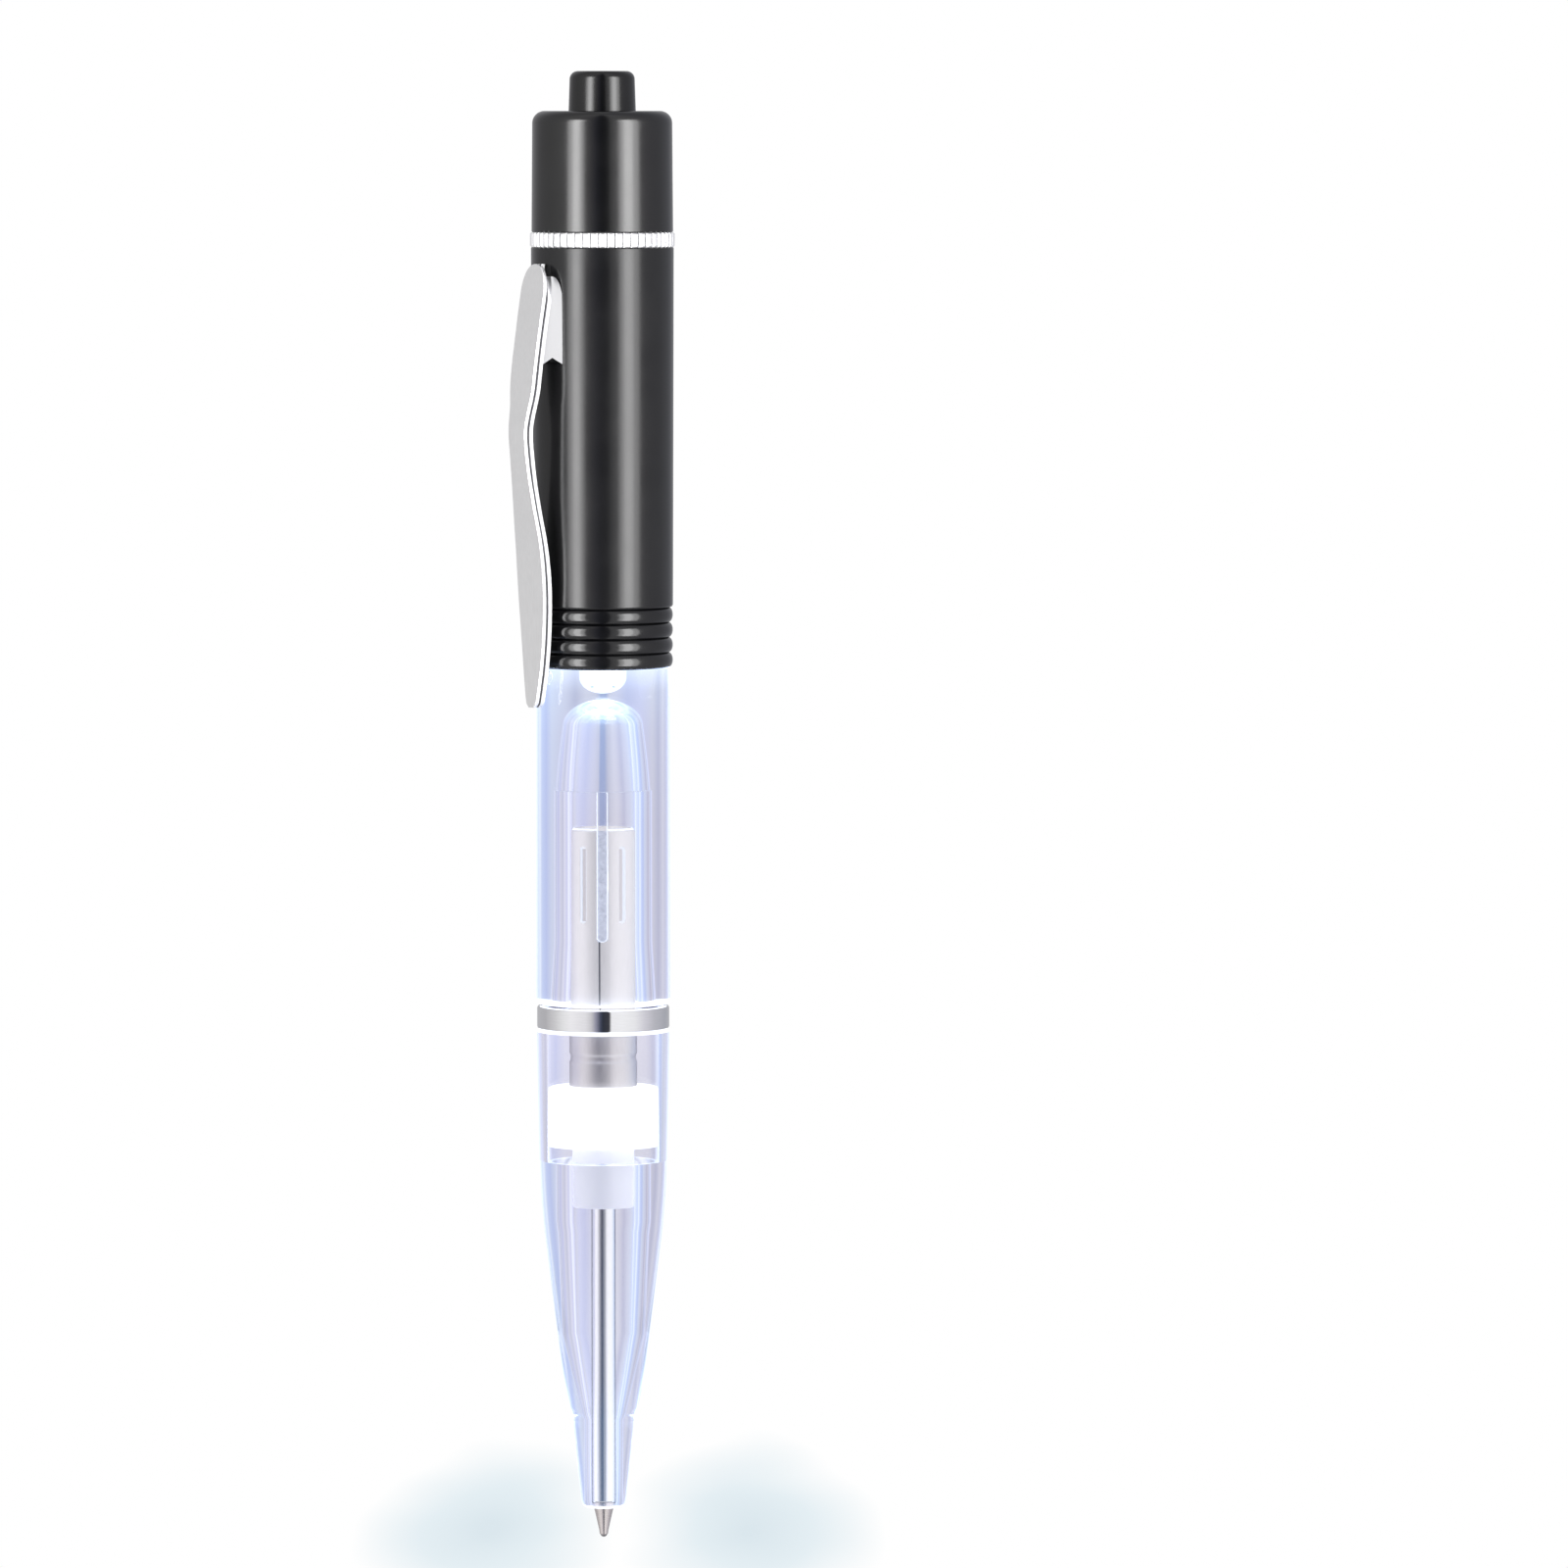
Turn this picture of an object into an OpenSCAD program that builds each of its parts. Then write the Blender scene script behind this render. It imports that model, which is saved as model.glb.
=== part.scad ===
// Counterfeit detector pen: a twist-action ballpoint that writes with test ink.
// A lamp under the black battery barrel lights the thick clear barrel from above.
// +Z runs up the axis from the writing ball, whose lowest point is the origin, to the
// push button. The pocket clip lies on the -X side. Sizes are millimetres.

/* [Black barrel and head] */
// Diameter of the black barrel at its upper end
barrel_d = 14.0; // [13.8:0.1:14.6]
// How much narrower the black barrel is at its lower end
barrel_taper = 0.2; // [0:0.05:0.3]
// Length of the black barrel
barrel_l = 35.3; // [35:0.1:38]
// Height of the knurled trim ring
trim_l = 1.45; // [1.2:0.05:2]
// Diameter over the knurls of the trim ring
trim_d = 14.2; // [14.0:0.1:15]
// Number of knurls
knurls = 54; // [36:2:72]
// Length of the head that screws into the black barrel
head_l = 11.85; // [11.7:0.05:13]
// Diameter of the push button at its foot
button_d = 6.7; // [6:0.1:7]
// How far the button stands out of the head
button_out = 3.9; // [3:0.1:5]
// Travel of the push button
button_travel = 1.5; // [0.8:0.1:1.5]

/* [Clear barrels] */
// Diameter of the upper clear barrel
light_d = 13.3; // [13.2:0.05:13.5]
// Exposed length of the upper clear barrel
light_l = 33.1; // [33:0.1:36]
// Number of beads on the ribbed collar
ribs = 4; // [3:1:4]
// Distance from one bead to the next
rib_pitch = 1.48; // [1.4:0.02:1.6]
// Height of the chrome ring between the clear barrels
ring_l = 2.35; // [2:0.05:2.6]
// Diameter of the chrome ring
ring_d = 13.0; // [12.8:0.1:13.2]
// Length of the lower clear barrel from nose end to shoulder
lower_l = 47.4; // [47.2:0.1:48]
// How far the point stands out of the nose
point_out = 3.0; // [2.8:0.1:3.2]

/* [Refill and twist action] */
// Outer diameter of the refill tube
refill_d = 2.35; // [2.3:0.05:2.35]
// Whole length of the refill
refill_l = 67; // [66:0.5:67]
// Diameter of the writing ball
ball_d = 0.7; // [0.6:0.1:0.7]
// How far the refill draws back
refill_travel = 5.5; // [4:0.5:5.5]
// Turn of the lower barrel that draws the refill back, in degrees
twist_turn = 180; // [150:10:180]

/* [Lamp and cells] */
// Diameter of the lamp
lamp_d = 3.0; // [3:0.1:5]
// Diameter of a button cell
cell_d = 11.6; // [11:0.1:11.6]
// Height of a button cell
cell_h = 5.4; // [5.2:0.1:5.4]
// How far the lamp's dome reaches down out of the ribbed collar
lamp_in = 2.4; // [1:0.1:2.5]

/* [Pocket clip] */
// Length of the clip
clip_l = 43.3; // [43:0.1:44]
// Thickness of the clip's strip
clip_t = 1.1; // [0.9:0.1:1.3]
// Distance from the clip's upper end to the line where it bends
clip_bend = 9.8; // [9:0.1:10]

/* [Hidden] */
$fn = 64;

// Small gaps: between faces that turn on each other, and round what slides or turns
face_gap = 0.03;
run_gap = 0.06;

// Heights where one outside piece ends and the next begins
z_nose = point_out;
z_shoulder = z_nose + lower_l;
z_ring = z_shoulder + ring_l;
z_light = z_ring + 0.2;
z_ribs = z_light + light_l;
z_tube = z_ribs + ribs * rib_pitch;
z_trim = z_tube + barrel_l;
z_head = z_trim + trim_l;
z_top = z_head + head_l;
z_button = z_top + button_out;

// Black barrel: outside radii and the two bores
tube_r = barrel_d / 2;
tube_r_low = tube_r - barrel_taper / 2;
tube_bore = tube_r - 0.9;
spigot_r = 5.6;
spigot_l = 10;
z_spigot = z_ribs + spigot_l;

// Twist action: where its pieces lie along the axis
collar_r = 5.43;
z_collar = 38.9;
z_sleeve = 44.8;
sleeve_l = 25.6;
sleeve_r = 3.16;
sleeve_bore = 2.9;
swage_r = 3.33;
swage_l = 5.4;
carrier_r = 3.04;
carrier_nose_l = 5.9;
stem_r = 1.85;
collar_stem_r = 2.4;
z_carrier = z_collar - carrier_nose_l;
z_cam_top = 64.2;
z_pin = 54;
pin_r = 0.5;
key_angle = 232;
key_w = 0.85;
z_key = 59.3;
z_key_top = 74;

// Refill: where the tube begins, and where the point's shank ends inside it
z_tube_end = 3.7;
z_shank = 6.6;
ink_l = 40;
tube_wall = 0.2;
refill_bore = refill_d / 2 - tube_wall - 0.01;

// Lamp and cells, stacked up from the spigot of the clear barrel
lamp_r = lamp_d / 2;
z_lamp = z_ribs - lamp_in;
lamp_l = 5.3;
z_board = z_spigot + 2.4;
board_t = 1.0;
z_cells = z_board + board_t + 0.5;
z_cells_top = z_cells + 3 * cell_h;
lead_spread = 1.27;

// Switch in the head
neck_r = tube_bore - run_gap;
neck_l = 9;
z_neck = z_head - neck_l;
switch_r = 5.25;
z_contact = z_neck + 0.5;
z_switch = z_contact + 0.4;
z_well = z_switch + 10.9;
z_switch_top = z_well + 2.5;
z_flange = z_top - 4.0;
flange_r = 4.55;
z_moving = z_well - 3.1;
z_post_top = z_moving - button_travel - 0.05;

// Clip: its upper end, and how far its outer face stands from the axis along its length
z_clip = z_trim - 1.6;
z_bend = z_clip - clip_bend;
CLIP_STANDOFF = [
    [0, 8.2], [3, 8.6], [6, 9.1], [10, 9.7], [13.5, 10.1], [16.2, 10.5],
    [19.5, 10.25], [23, 9.8], [28, 9.1], [33, 8.75], [38, 8.65], [clip_l, 8.8]
];
// Half-width of the clip along its length, from its rounded head to its tip
CLIP_HALF_WIDTH = [
    [0, 0.5], [0.5, 1.15], [1.4, 1.6], [2.9, 1.92], [7, 1.9], [12, 1.84], [14.3, 1.5],
    [16.5, 1.34], [20, 1.38], [23, 1.6], [27, 2.0], [31, 2.12], [35, 1.92], [39, 1.5],
    [41.8, 1.05], [42.9, 0.8], [clip_l, 0.45]
];

// Slope of a run of stations [s, value] at station i
function slope(run, i) =
    let (a = max(i - 1, 0), b = min(i + 1, len(run) - 1))
    (run[b][1] - run[a][1]) / (run[b][0] - run[a][0]);

// Point a fraction u of the way from station i to the next, on a smooth curve
function eased(run, i, u) =
    let (
        h = run[i + 1][0] - run[i][0],
        m = slope(run, i) * h,
        n = slope(run, i + 1) * h
    )
    [
        run[i][0] + u * h,
        run[i][1] * (2 * u ^ 3 - 3 * u ^ 2 + 1) + m * (u ^ 3 - 2 * u ^ 2 + u)
            + run[i + 1][1] * (3 * u ^ 2 - 2 * u ^ 3) + n * (u ^ 3 - u ^ 2)
    ];

// Smooth curve through a run of stations, as points [s, value]
function smooth(run, parts) = [
    for (i = [0 : len(run) - 2], k = [0 : parts - 1]) eased(run, i, k / parts),
    run[len(run) - 1]
];

// Quarter round from angle a0 to a1 about [r, z], with radii across and along the axis
function arc(r, z, across, along, a0, a1, parts = 4) = [
    for (k = [0 : parts])
        let (a = a0 + (a1 - a0) * k / parts) [r + across * cos(a), z + along * sin(a)]
];

// Curve from p to q that starts and ends in line with the corner c
function bent(p, c, q, parts = 5) = [
    for (k = [0 : parts])
        let (u = k / parts) p * (1 - u) ^ 2 + c * 2 * u * (1 - u) + q * u ^ 2
];

// Solid of revolution about the axis, from points [radius, height]
module lathe(points) {
    rotate_extrude($fn = 96) polygon(points);
}

// Plain ring about the axis
module ring(r_out, r_in, z0, z1) {
    lathe([[r_in, z0], [r_out, z0], [r_out, z1], [r_in, z1]]);
}

// Rod along +X at the given height, from one distance off the axis to another
module spoke(r, from, to, z, angle) {
    rotate([0, 0, angle])
        translate([from, 0, z])
            rotate([0, 90, 0])
                cylinder(r = r, h = to - from, $fn = 32);
}

// Slot of round ends that runs up from z0 to z1, cut between two distances off the axis
module long_slot(width, from, to, z0, z1, angle) {
    spoke(width / 2, from, to, z0 + width / 2, angle);
    spoke(width / 2, from, to, z1 - width / 2, angle);
    rotate([0, 0, angle])
        translate([from, -width / 2, z0 + width / 2])
            cube([to - from, width, z1 - z0 - width]);
}

// Round wire wound about the axis, from radius r0 at the bottom to r1 at the top
module coil(r0, r1, z0, height, turns, wire_r) {
    sides = 6;
    steps = turns * 12;
    rings = [
        for (k = [0 : steps], j = [0 : sides - 1])
            let (
                u = k / steps,
                a = 360 * turns * u,
                across = 360 * j / sides,
                r = r0 + (r1 - r0) * u + wire_r * cos(across)
            )
            [
                r * cos(a),
                r * sin(a),
                z0 + wire_r + (height - 2 * wire_r) * u + wire_r * sin(across)
            ]
    ];
    walls = [
        for (k = [0 : steps - 1], j = [0 : sides - 1])
            let (n = (j + 1) % sides, b = k * sides, t = b + sides)
            [b + j, t + j, t + n, b + n]
    ];
    ends = [
        [for (j = [0 : sides - 1]) j],
        [for (j = [sides - 1 : -1 : 0]) steps * sides + j]
    ];
    polyhedron(rings, concat(walls, ends));
}

// ---- Black barrel, lamp and cells ----

// Outside of the black barrel as a solid, which the clip's foot also sits on
module barrel_blank() {
    round_r = 0.3;
    lathe(concat(
        [[0, z_tube]],
        arc(tube_r_low - round_r, z_tube + round_r, round_r, round_r, -90, 0),
        arc(tube_r - 0.15, z_trim - 0.15, 0.15, 0.15, 0, 90, 2),
        [[0, z_trim]]
    ));
}

// Wall opening that the clip's tab hooks into
clip_tab = [2.4, 5.0];
z_clip_tab = z_clip - 3.4 - clip_tab[1];

module barrel_tube() {
    color([0.07, 0.07, 0.08])
    difference() {
        barrel_blank();
        translate([0, 0, z_tube - 1])
            cylinder(r = spigot_r, h = spigot_l);
        translate([0, 0, z_spigot + 0.02])
            cylinder(r = tube_bore, h = barrel_l);
        translate([-tube_r - 1, -clip_tab[0] / 2, z_clip_tab])
            cube([tube_r - 4, clip_tab[0], clip_tab[1]]);
    }
}

module ribbed_collar() {
    valley_r = 6.44;
    bead = 0.44;
    color([0.06, 0.06, 0.07])
    lathe(concat(
        [[spigot_r, z_ribs]],
        [
            for (i = [0 : ribs - 1])
                each arc(valley_r, z_ribs + (i + 0.5) * rib_pitch, bead,
                    rib_pitch / 2, -90, 90, 8)
        ],
        [[spigot_r, z_tube]]
    ));
}

module light_barrel() {
    r = light_d / 2;
    head_r = r + 0.04;
    z_step = z_ribs - 4.8;
    dome_r = 2.65;
    z_dome = 80.2;
    dome_h = 2.8;
    color([0.82, 0.85, 1.0, 0.4])
    union() {
        difference() {
            lathe(concat(
                [[0, z_light]],
                arc(r - 0.3, z_light + 0.3, 0.3, 0.3, -90, 0),
                [[r, z_step], [head_r, z_ribs]],
                [[spigot_r, z_ribs], [spigot_r, z_spigot], [0, z_spigot]]
            ));
            lathe(concat(
                [[0, z_light - 1], [swage_r, z_light - 1], [swage_r, z_light + 1]],
                [[sleeve_r + 0.01, z_key], [sleeve_r + 0.01, z_key_top]],
                [[dome_r + 0.42, z_key_top], [dome_r + 0.27, z_key_top + 2.9]],
                arc(0, z_dome, dome_r, dome_h, 0, 90, 6)
            ));
            translate([0, 0, z_lamp + lamp_r])
                sphere(r = lamp_r + 0.05);
            translate([0, 0, z_lamp + lamp_r])
                cylinder(r = lamp_r + 0.05, h = spigot_l);
            translate([0, 0, z_lamp + lamp_l - 1])
                cylinder(r = lamp_r + 0.45, h = spigot_l);
        }
        rotate([0, 0, key_angle])
            translate([sleeve_bore + 0.03, -key_w / 2, z_key + 0.05])
                cube([0.6, key_w, z_key_top - z_key - 0.05]);
    }
}

module uv_lamp() {
    color([0.85, 0.88, 1.0])
    union() {
        translate([0, 0, z_lamp + lamp_r])
            sphere(r = lamp_r);
        translate([0, 0, z_lamp + lamp_r])
            cylinder(r = lamp_r, h = lamp_l - lamp_r);
        translate([0, 0, z_lamp + lamp_l - 0.95])
            cylinder(r = lamp_r + 0.4, h = 0.95);
    }
}

// Two holes or two leads, side by side through the lamp's holder and board
module pair(r, z0, z1) {
    for (side = [-1, 1])
        translate([side * lead_spread, 0, z0])
            cylinder(r = r, h = z1 - z0, $fn = 24);
}

module lamp_leads() {
    color([0.8, 0.8, 0.82])
    pair(0.25, z_lamp + lamp_l, z_board + board_t + 0.15);
}

module lamp_holder() {
    color([0.9, 0.9, 0.88])
    difference() {
        union() {
            translate([0, 0, z_lamp + lamp_l + 0.02])
                cylinder(r = lamp_r + 0.4, h = z_board - z_lamp - lamp_l - 0.02);
            translate([0, 0, z_spigot + 0.03])
                cylinder(r = tube_bore - 0.03, h = z_board - z_spigot - 0.03);
        }
        pair(0.32, z_lamp, z_board + 1);
        translate([-1.5, 2.6, z_board - 0.7])
            cube([3, 2, 1]);
    }
}

module lamp_board() {
    color([0.1, 0.35, 0.2])
    difference() {
        translate([0, 0, z_board])
            cylinder(r = tube_bore - 0.1, h = board_t);
        pair(0.3, z_board - 1, z_board + board_t + 1);
    }
}

module resistor() {
    color([0.15, 0.15, 0.15])
    translate([-1, 3, z_board - 0.55])
        cube([2, 1.2, 0.55]);
}

module cell_contact() {
    color([0.85, 0.7, 0.35])
    difference() {
        translate([0, 0, z_board + board_t])
            cylinder(r = 2.6, h = z_cells - z_board - board_t - 0.02);
        pair(0.4, z_board, z_cells + 1);
    }
}

module cell_sleeve() {
    color([0.85, 0.8, 0.6])
    ring(tube_bore - 0.02, cell_d / 2 + 0.06, z_cells - 0.3, z_cells_top + 0.3);
}

// Button cell number i: a can with a narrower cap on its upper face
module cell(i) {
    r = cell_d / 2;
    z0 = z_cells + i * cell_h;
    z1 = z0 + cell_h;
    color([0.78, 0.78, 0.8])
    lathe([
        [0, z0], [r - 0.3, z0], [r, z0 + 0.3], [r, z1 - 0.6], [r - 0.3, z1 - 0.35],
        [r - 0.9, z1 - 0.35], [r - 1.1, z1], [0, z1]
    ]);
}

module cell_1() {
    cell(0);
}

module cell_2() {
    cell(1);
}

module cell_3() {
    cell(2);
}

// ---- Head: trim ring, cap, switch and button ----

module trim_ring() {
    tooth = 0.22;
    r = trim_d / 2;
    color([0.85, 0.85, 0.86])
    difference() {
        translate([0, 0, z_trim + face_gap / 2])
            linear_extrude(trim_l - face_gap)
                polygon([
                    for (i = [0 : 2 * knurls - 1])
                        let (a = 180 * i / knurls, rr = r - tooth * (i % 2))
                        [rr * cos(a), rr * sin(a)]
                ]);
        translate([0, 0, z_trim - 1])
            cylinder(r = tube_bore, h = trim_l + 2);
    }
}

module head_cap() {
    edge = 1.2;
    r_low = tube_r - 0.06;
    r_top = tube_r - 0.14;
    cavity_top = z_top - 1.6;
    color([0.06, 0.06, 0.07])
    difference() {
        lathe(concat(
            [[0, z_neck], [neck_r - 0.3, z_neck], [neck_r, z_neck + 0.3]],
            [[neck_r, z_head], [r_low - 0.12, z_head], [r_low, z_head + 0.12]],
            arc(r_top - edge, z_top - edge, edge, edge, 0, 90, 6),
            [[0, z_top]]
        ));
        translate([0, 0, z_neck - 1])
            cylinder(r = switch_r + 0.03, h = z_switch_top - z_neck + 1.05);
        translate([0, 0, z_switch])
            cylinder(r = flange_r + 0.15, h = cavity_top - z_switch);
        translate([0, 0, z_switch])
            cylinder(r = button_d / 2 + run_gap, h = 40);
    }
}

module switch_housing() {
    color([0.2, 0.2, 0.22])
    difference() {
        translate([0, 0, z_switch + 0.02])
            cylinder(r = switch_r, h = z_switch_top - z_switch - 0.02);
        translate([0, 0, z_switch - 1])
            cylinder(r = 1.05, h = 3);
        translate([0, 0, z_switch + 1])
            cylinder(r = 3.1, h = z_well - z_switch - 1.9);
        translate([0, 0, z_switch + 1])
            cylinder(r = 1.7, h = 20);
        translate([0, 0, z_well])
            cylinder(r = 2.9, h = 20);
    }
}

// Fixed contact: a disc that carries the cell spring, and a post up into the switch
module contact_post() {
    color([0.85, 0.7, 0.35])
    union() {
        translate([0, 0, z_contact])
            cylinder(r = 4.7, h = z_switch - z_contact);
        translate([0, 0, z_contact])
            cylinder(r = 1.0, h = z_post_top - z_contact);
    }
}

module cell_spring() {
    color([0.75, 0.75, 0.77])
    coil(2.2, 4.2, z_cells_top + 0.02, z_contact - z_cells_top - 0.04, 4, 0.25);
}

module button_spring() {
    color([0.75, 0.75, 0.77])
    coil(2.35, 2.35, z_well + 0.02, z_flange - z_well - 0.06, 5, 0.16);
}

module push_button() {
    r = button_d / 2;
    r_top = r - 0.16;
    edge = 0.8;
    z_wall = z_top - 1.6;
    color([0.06, 0.06, 0.07])
    lathe(concat(
        [[0, z_flange], [flange_r, z_flange], [flange_r, z_wall - 0.05], [r, z_wall - 0.05]],
        arc(r_top - edge, z_button - edge, edge, edge, 0, 90, 5),
        [[1.6, z_button - 0.06], [0, z_button - 0.1]]
    ));
}

module switch_plunger() {
    color([0.85, 0.85, 0.82])
    translate([0, 0, z_moving + 0.5])
        cylinder(r = 1.6, h = z_flange - z_moving - 0.5);
}

module moving_contact() {
    color([0.85, 0.7, 0.35])
    translate([0, 0, z_moving])
        cylinder(r = 2.7, h = 0.5);
}

// ---- Pocket clip ----

// The whole strip: its side view extruded across, cut to its front view
module clip_blank() {
    side = smooth(CLIP_STANDOFF, 2);
    front = smooth(CLIP_HALF_WIDTH, 2);
    intersection() {
        rotate([90, 0, 0])
            linear_extrude(8, center = true)
                polygon(concat(
                    [for (p = side) [-p[1], z_clip - p[0]]],
                    [for (i = [len(side) - 1 : -1 : 0]) [clip_t - side[i][1], z_clip - side[i][0]]]
                ));
        rotate([90, 0, 90])
            linear_extrude(30, center = true)
                polygon(concat(
                    [for (p = front) [p[1], z_clip - p[0]]],
                    [for (i = [len(front) - 1 : -1 : 0]) [-front[i][1], z_clip - front[i][0]]]
                ));
    }
}

// Half-space above or below the line where the clip bends
module above_bend() {
    translate([-20, -10, z_bend])
        cube([20, 20, 20]);
}

module clip_foot() {
    // Web between strip and barrel: half-widths at the barrel and at the strip
    web_low = 2.3;
    web_high = 1.86;
    z_web_top = z_clip - 1.45;
    notch_h = 0.7;
    notch_w = 1.3;
    color([0.72, 0.72, 0.73])
    difference() {
        union() {
            intersection() {
                clip_blank();
                above_bend();
            }
            intersection() {
                translate([0, 0, z_bend])
                    linear_extrude(z_web_top - z_bend)
                        polygon([
                            [-9.3, -web_high], [-7.6, -web_high], [-6.5, -web_low],
                            [-6.5, web_low], [-7.6, web_high], [-9.3, web_high]
                        ]);
                // Keeps the web under the strip's outer face
                rotate([90, 0, 0])
                    linear_extrude(8, center = true)
                        polygon([
                            [-6, z_bend], [-9.2, z_bend], [-8.1, z_web_top], [-6, z_web_top]
                        ]);
            }
        }
        barrel_blank();
        // Notch in the web's lower edge
        rotate([90, 0, 90])
            translate([0, 0, -8.5])
                linear_extrude(4)
                    polygon([
                        [-notch_w, z_bend - 0.01], [notch_w, z_bend - 0.01], [0, z_bend + notch_h]
                    ]);
    }
    // Tab that hooks into the barrel's wall
    color([0.72, 0.72, 0.73])
    translate([-tube_r - 0.6, -clip_tab[0] / 2 + 0.03, z_clip_tab + 0.03])
        cube([tube_r + 0.6 - tube_bore - 0.08, clip_tab[0] - 0.06, clip_tab[1] - 0.06]);
}

module clip_arm() {
    nib_r = 0.75;
    nib_s = 40.4;
    color([0.72, 0.72, 0.73])
    union() {
        difference() {
            clip_blank();
            translate([0, 0, -0.02])
                above_bend();
        }
        // Round nib that bears on the clear barrel
        translate([-light_d / 2 - 0.07 - nib_r, 0, z_clip - nib_s])
            rotate([90, 0, 0])
                cylinder(r = nib_r, h = 1.8, center = true, $fn = 32);
    }
}

// ---- Twist action ----

module mechanism_sleeve() {
    z_base = z_sleeve + 0.05;
    z_end = z_sleeve + sleeve_l;
    edge = 0.4;
    lip_r = 2.2;
    groove_r = swage_r - 0.14;
    z_groove = z_sleeve + 2.9;
    flute_w = 0.55;
    flute_r = sleeve_r - 0.12;
    flute_angle = 30;
    z_flute = 61.1;
    flute_l = 7.4;
    color([0.86, 0.84, 0.84])
    difference() {
        lathe(concat(
            [[0, z_base], [swage_r - 0.1, z_base], [swage_r, z_base + 0.1]],
            [[swage_r, z_groove - 0.2], [groove_r, z_groove - 0.1]],
            [[groove_r, z_groove + 0.1], [swage_r, z_groove + 0.2]],
            [[swage_r, z_sleeve + swage_l - 0.2], [sleeve_r, z_sleeve + swage_l]],
            arc(sleeve_r - edge, z_end - edge, edge, edge, 0, 90),
            [[0, z_end]]
        ));
        translate([0, 0, z_sleeve - 1])
            cylinder(r = sleeve_bore, h = sleeve_l + 0.7);
        translate([0, 0, z_sleeve])
            cylinder(r = lip_r, h = sleeve_l + 1);
        // Slot that the clear barrel's key holds
        rotate([0, 0, key_angle])
            translate([2, -key_w / 2 - 0.05, z_key])
                cube([2, key_w + 0.1, 20]);
        // Four pressed flutes
        for (half = [0, 180], side = [-flute_angle, flute_angle])
            long_slot(flute_w, flute_r, sleeve_r + 1, z_flute, z_flute + flute_l,
                key_angle + half + side);
    }
}

module cam_sleeve() {
    steps = 15;
    slot_r = 0.65;
    color([0.93, 0.93, 0.9])
    difference() {
        ring(sleeve_bore - 0.02, collar_stem_r + run_gap, z_sleeve + 0.6, z_cam_top);
        for (i = [0 : steps])
            spoke(slot_r, 2, 4, z_pin + refill_travel * i / steps,
                key_angle + 90 + twist_turn * i / steps);
    }
}

module twist_collar() {
    bore_r = carrier_r + 0.08;
    lip_r = collar_stem_r + 0.2;
    z_lip = z_cam_top + 0.2;
    z_stem_top = 66;
    color([0.97, 0.97, 1.0])
    difference() {
        lathe(concat(
            [[0, z_collar]],
            [[collar_r - 0.25, z_collar], [collar_r, z_collar + 0.25]],
            [[collar_r, z_sleeve - 0.15], [collar_r - 0.15, z_sleeve]],
            [[collar_stem_r, z_sleeve], [collar_stem_r, z_lip - 0.15], [lip_r, z_lip]],
            [[lip_r, z_lip + 0.8], [collar_stem_r - 0.1, z_stem_top], [0, z_stem_top]]
        ));
        translate([0, 0, z_collar - 1])
            cylinder(r = bore_r, h = z_sleeve - z_collar + 0.75);
        translate([0, 0, z_collar])
            cylinder(r = stem_r + 0.07, h = 40);
        // Straight slot that turns the pin
        rotate([0, 0, key_angle + 90])
            translate([1, -pin_r - 0.05, z_pin - 0.7])
                cube([3, 2 * pin_r + 0.1, 20]);
    }
}

module refill_carrier() {
    bore_r = refill_d / 2 + 0.01;
    z_wide = z_collar + 0.05;
    z_end = refill_l + 1.2;
    color([0.93, 0.94, 0.97])
    difference() {
        lathe(concat(
            [[0, z_carrier]],
            arc(carrier_r - 0.35, z_carrier + 0.35, 0.35, 0.35, -90, 0, 3),
            [[carrier_r, z_wide], [stem_r, z_wide], [stem_r, z_end - 0.3]],
            [[stem_r - 0.3, z_end], [0, z_end]]
        ));
        translate([0, 0, z_carrier - 1])
            cylinder(r = bore_r, h = refill_l + 1.02 - z_carrier);
        spoke(pin_r, 0.5, 4, z_pin, key_angle + 90);
    }
}

module carrier_pin() {
    color([0.75, 0.75, 0.78])
    spoke(pin_r - 0.005, refill_d / 2 + 0.05, 2.82, z_pin, key_angle + 90);
}

module refill_tube() {
    color([0.75, 0.75, 0.77])
    ring(refill_d / 2, refill_d / 2 - tube_wall, z_tube_end, refill_l - 0.5);
}

module test_ink() {
    color([0.3, 0.18, 0.1])
    translate([0, 0, z_shank + 0.1])
        cylinder(r = refill_bore, h = ink_l);
}

module refill_plug() {
    plug_l = 4;
    head_r = refill_d / 2 - 0.02;
    color([0.9, 0.9, 0.9])
    difference() {
        lathe([
            [0, refill_l - plug_l], [refill_bore, refill_l - plug_l],
            [refill_bore, refill_l - 0.49], [head_r, refill_l - 0.49],
            [head_r, refill_l], [0, refill_l]
        ]);
        translate([0, 0, refill_l - 5])
            cylinder(r = 0.3, h = 10, $fn = 24);
    }
}

module refill_point() {
    ball_r = ball_d / 2;
    color([0.72, 0.68, 0.66])
    difference() {
        lathe([
            [0, ball_r - 0.07], [ball_r + 0.05, ball_r - 0.07], [ball_r + 0.1, ball_r + 0.3],
            [0.92, z_tube_end - 1], [refill_d / 2 - 0.03, z_tube_end - 0.01],
            [refill_bore, z_tube_end - 0.01], [refill_bore, z_shank], [0, z_shank]
        ]);
        translate([0, 0, ball_r])
            sphere(r = ball_r + 0.015);
        translate([0, 0, ball_r])
            cylinder(r = 0.22, h = 8, $fn = 24);
    }
}

module writing_ball() {
    color([0.6, 0.6, 0.62])
    translate([0, 0, ball_d / 2])
        sphere(r = ball_d / 2);
}

// ---- Lower barrel ----

module centre_ring() {
    r = ring_d / 2;
    edge = 0.35;
    color([0.88, 0.88, 0.9])
    lathe(concat(
        [[6.12, z_shoulder + face_gap]],
        arc(r - edge, z_shoulder + face_gap + edge, edge, edge, -90, 0),
        arc(r - edge, z_ring - edge, edge, edge, 0, 90),
        [[6.12, z_ring]]
    ));
}

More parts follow.
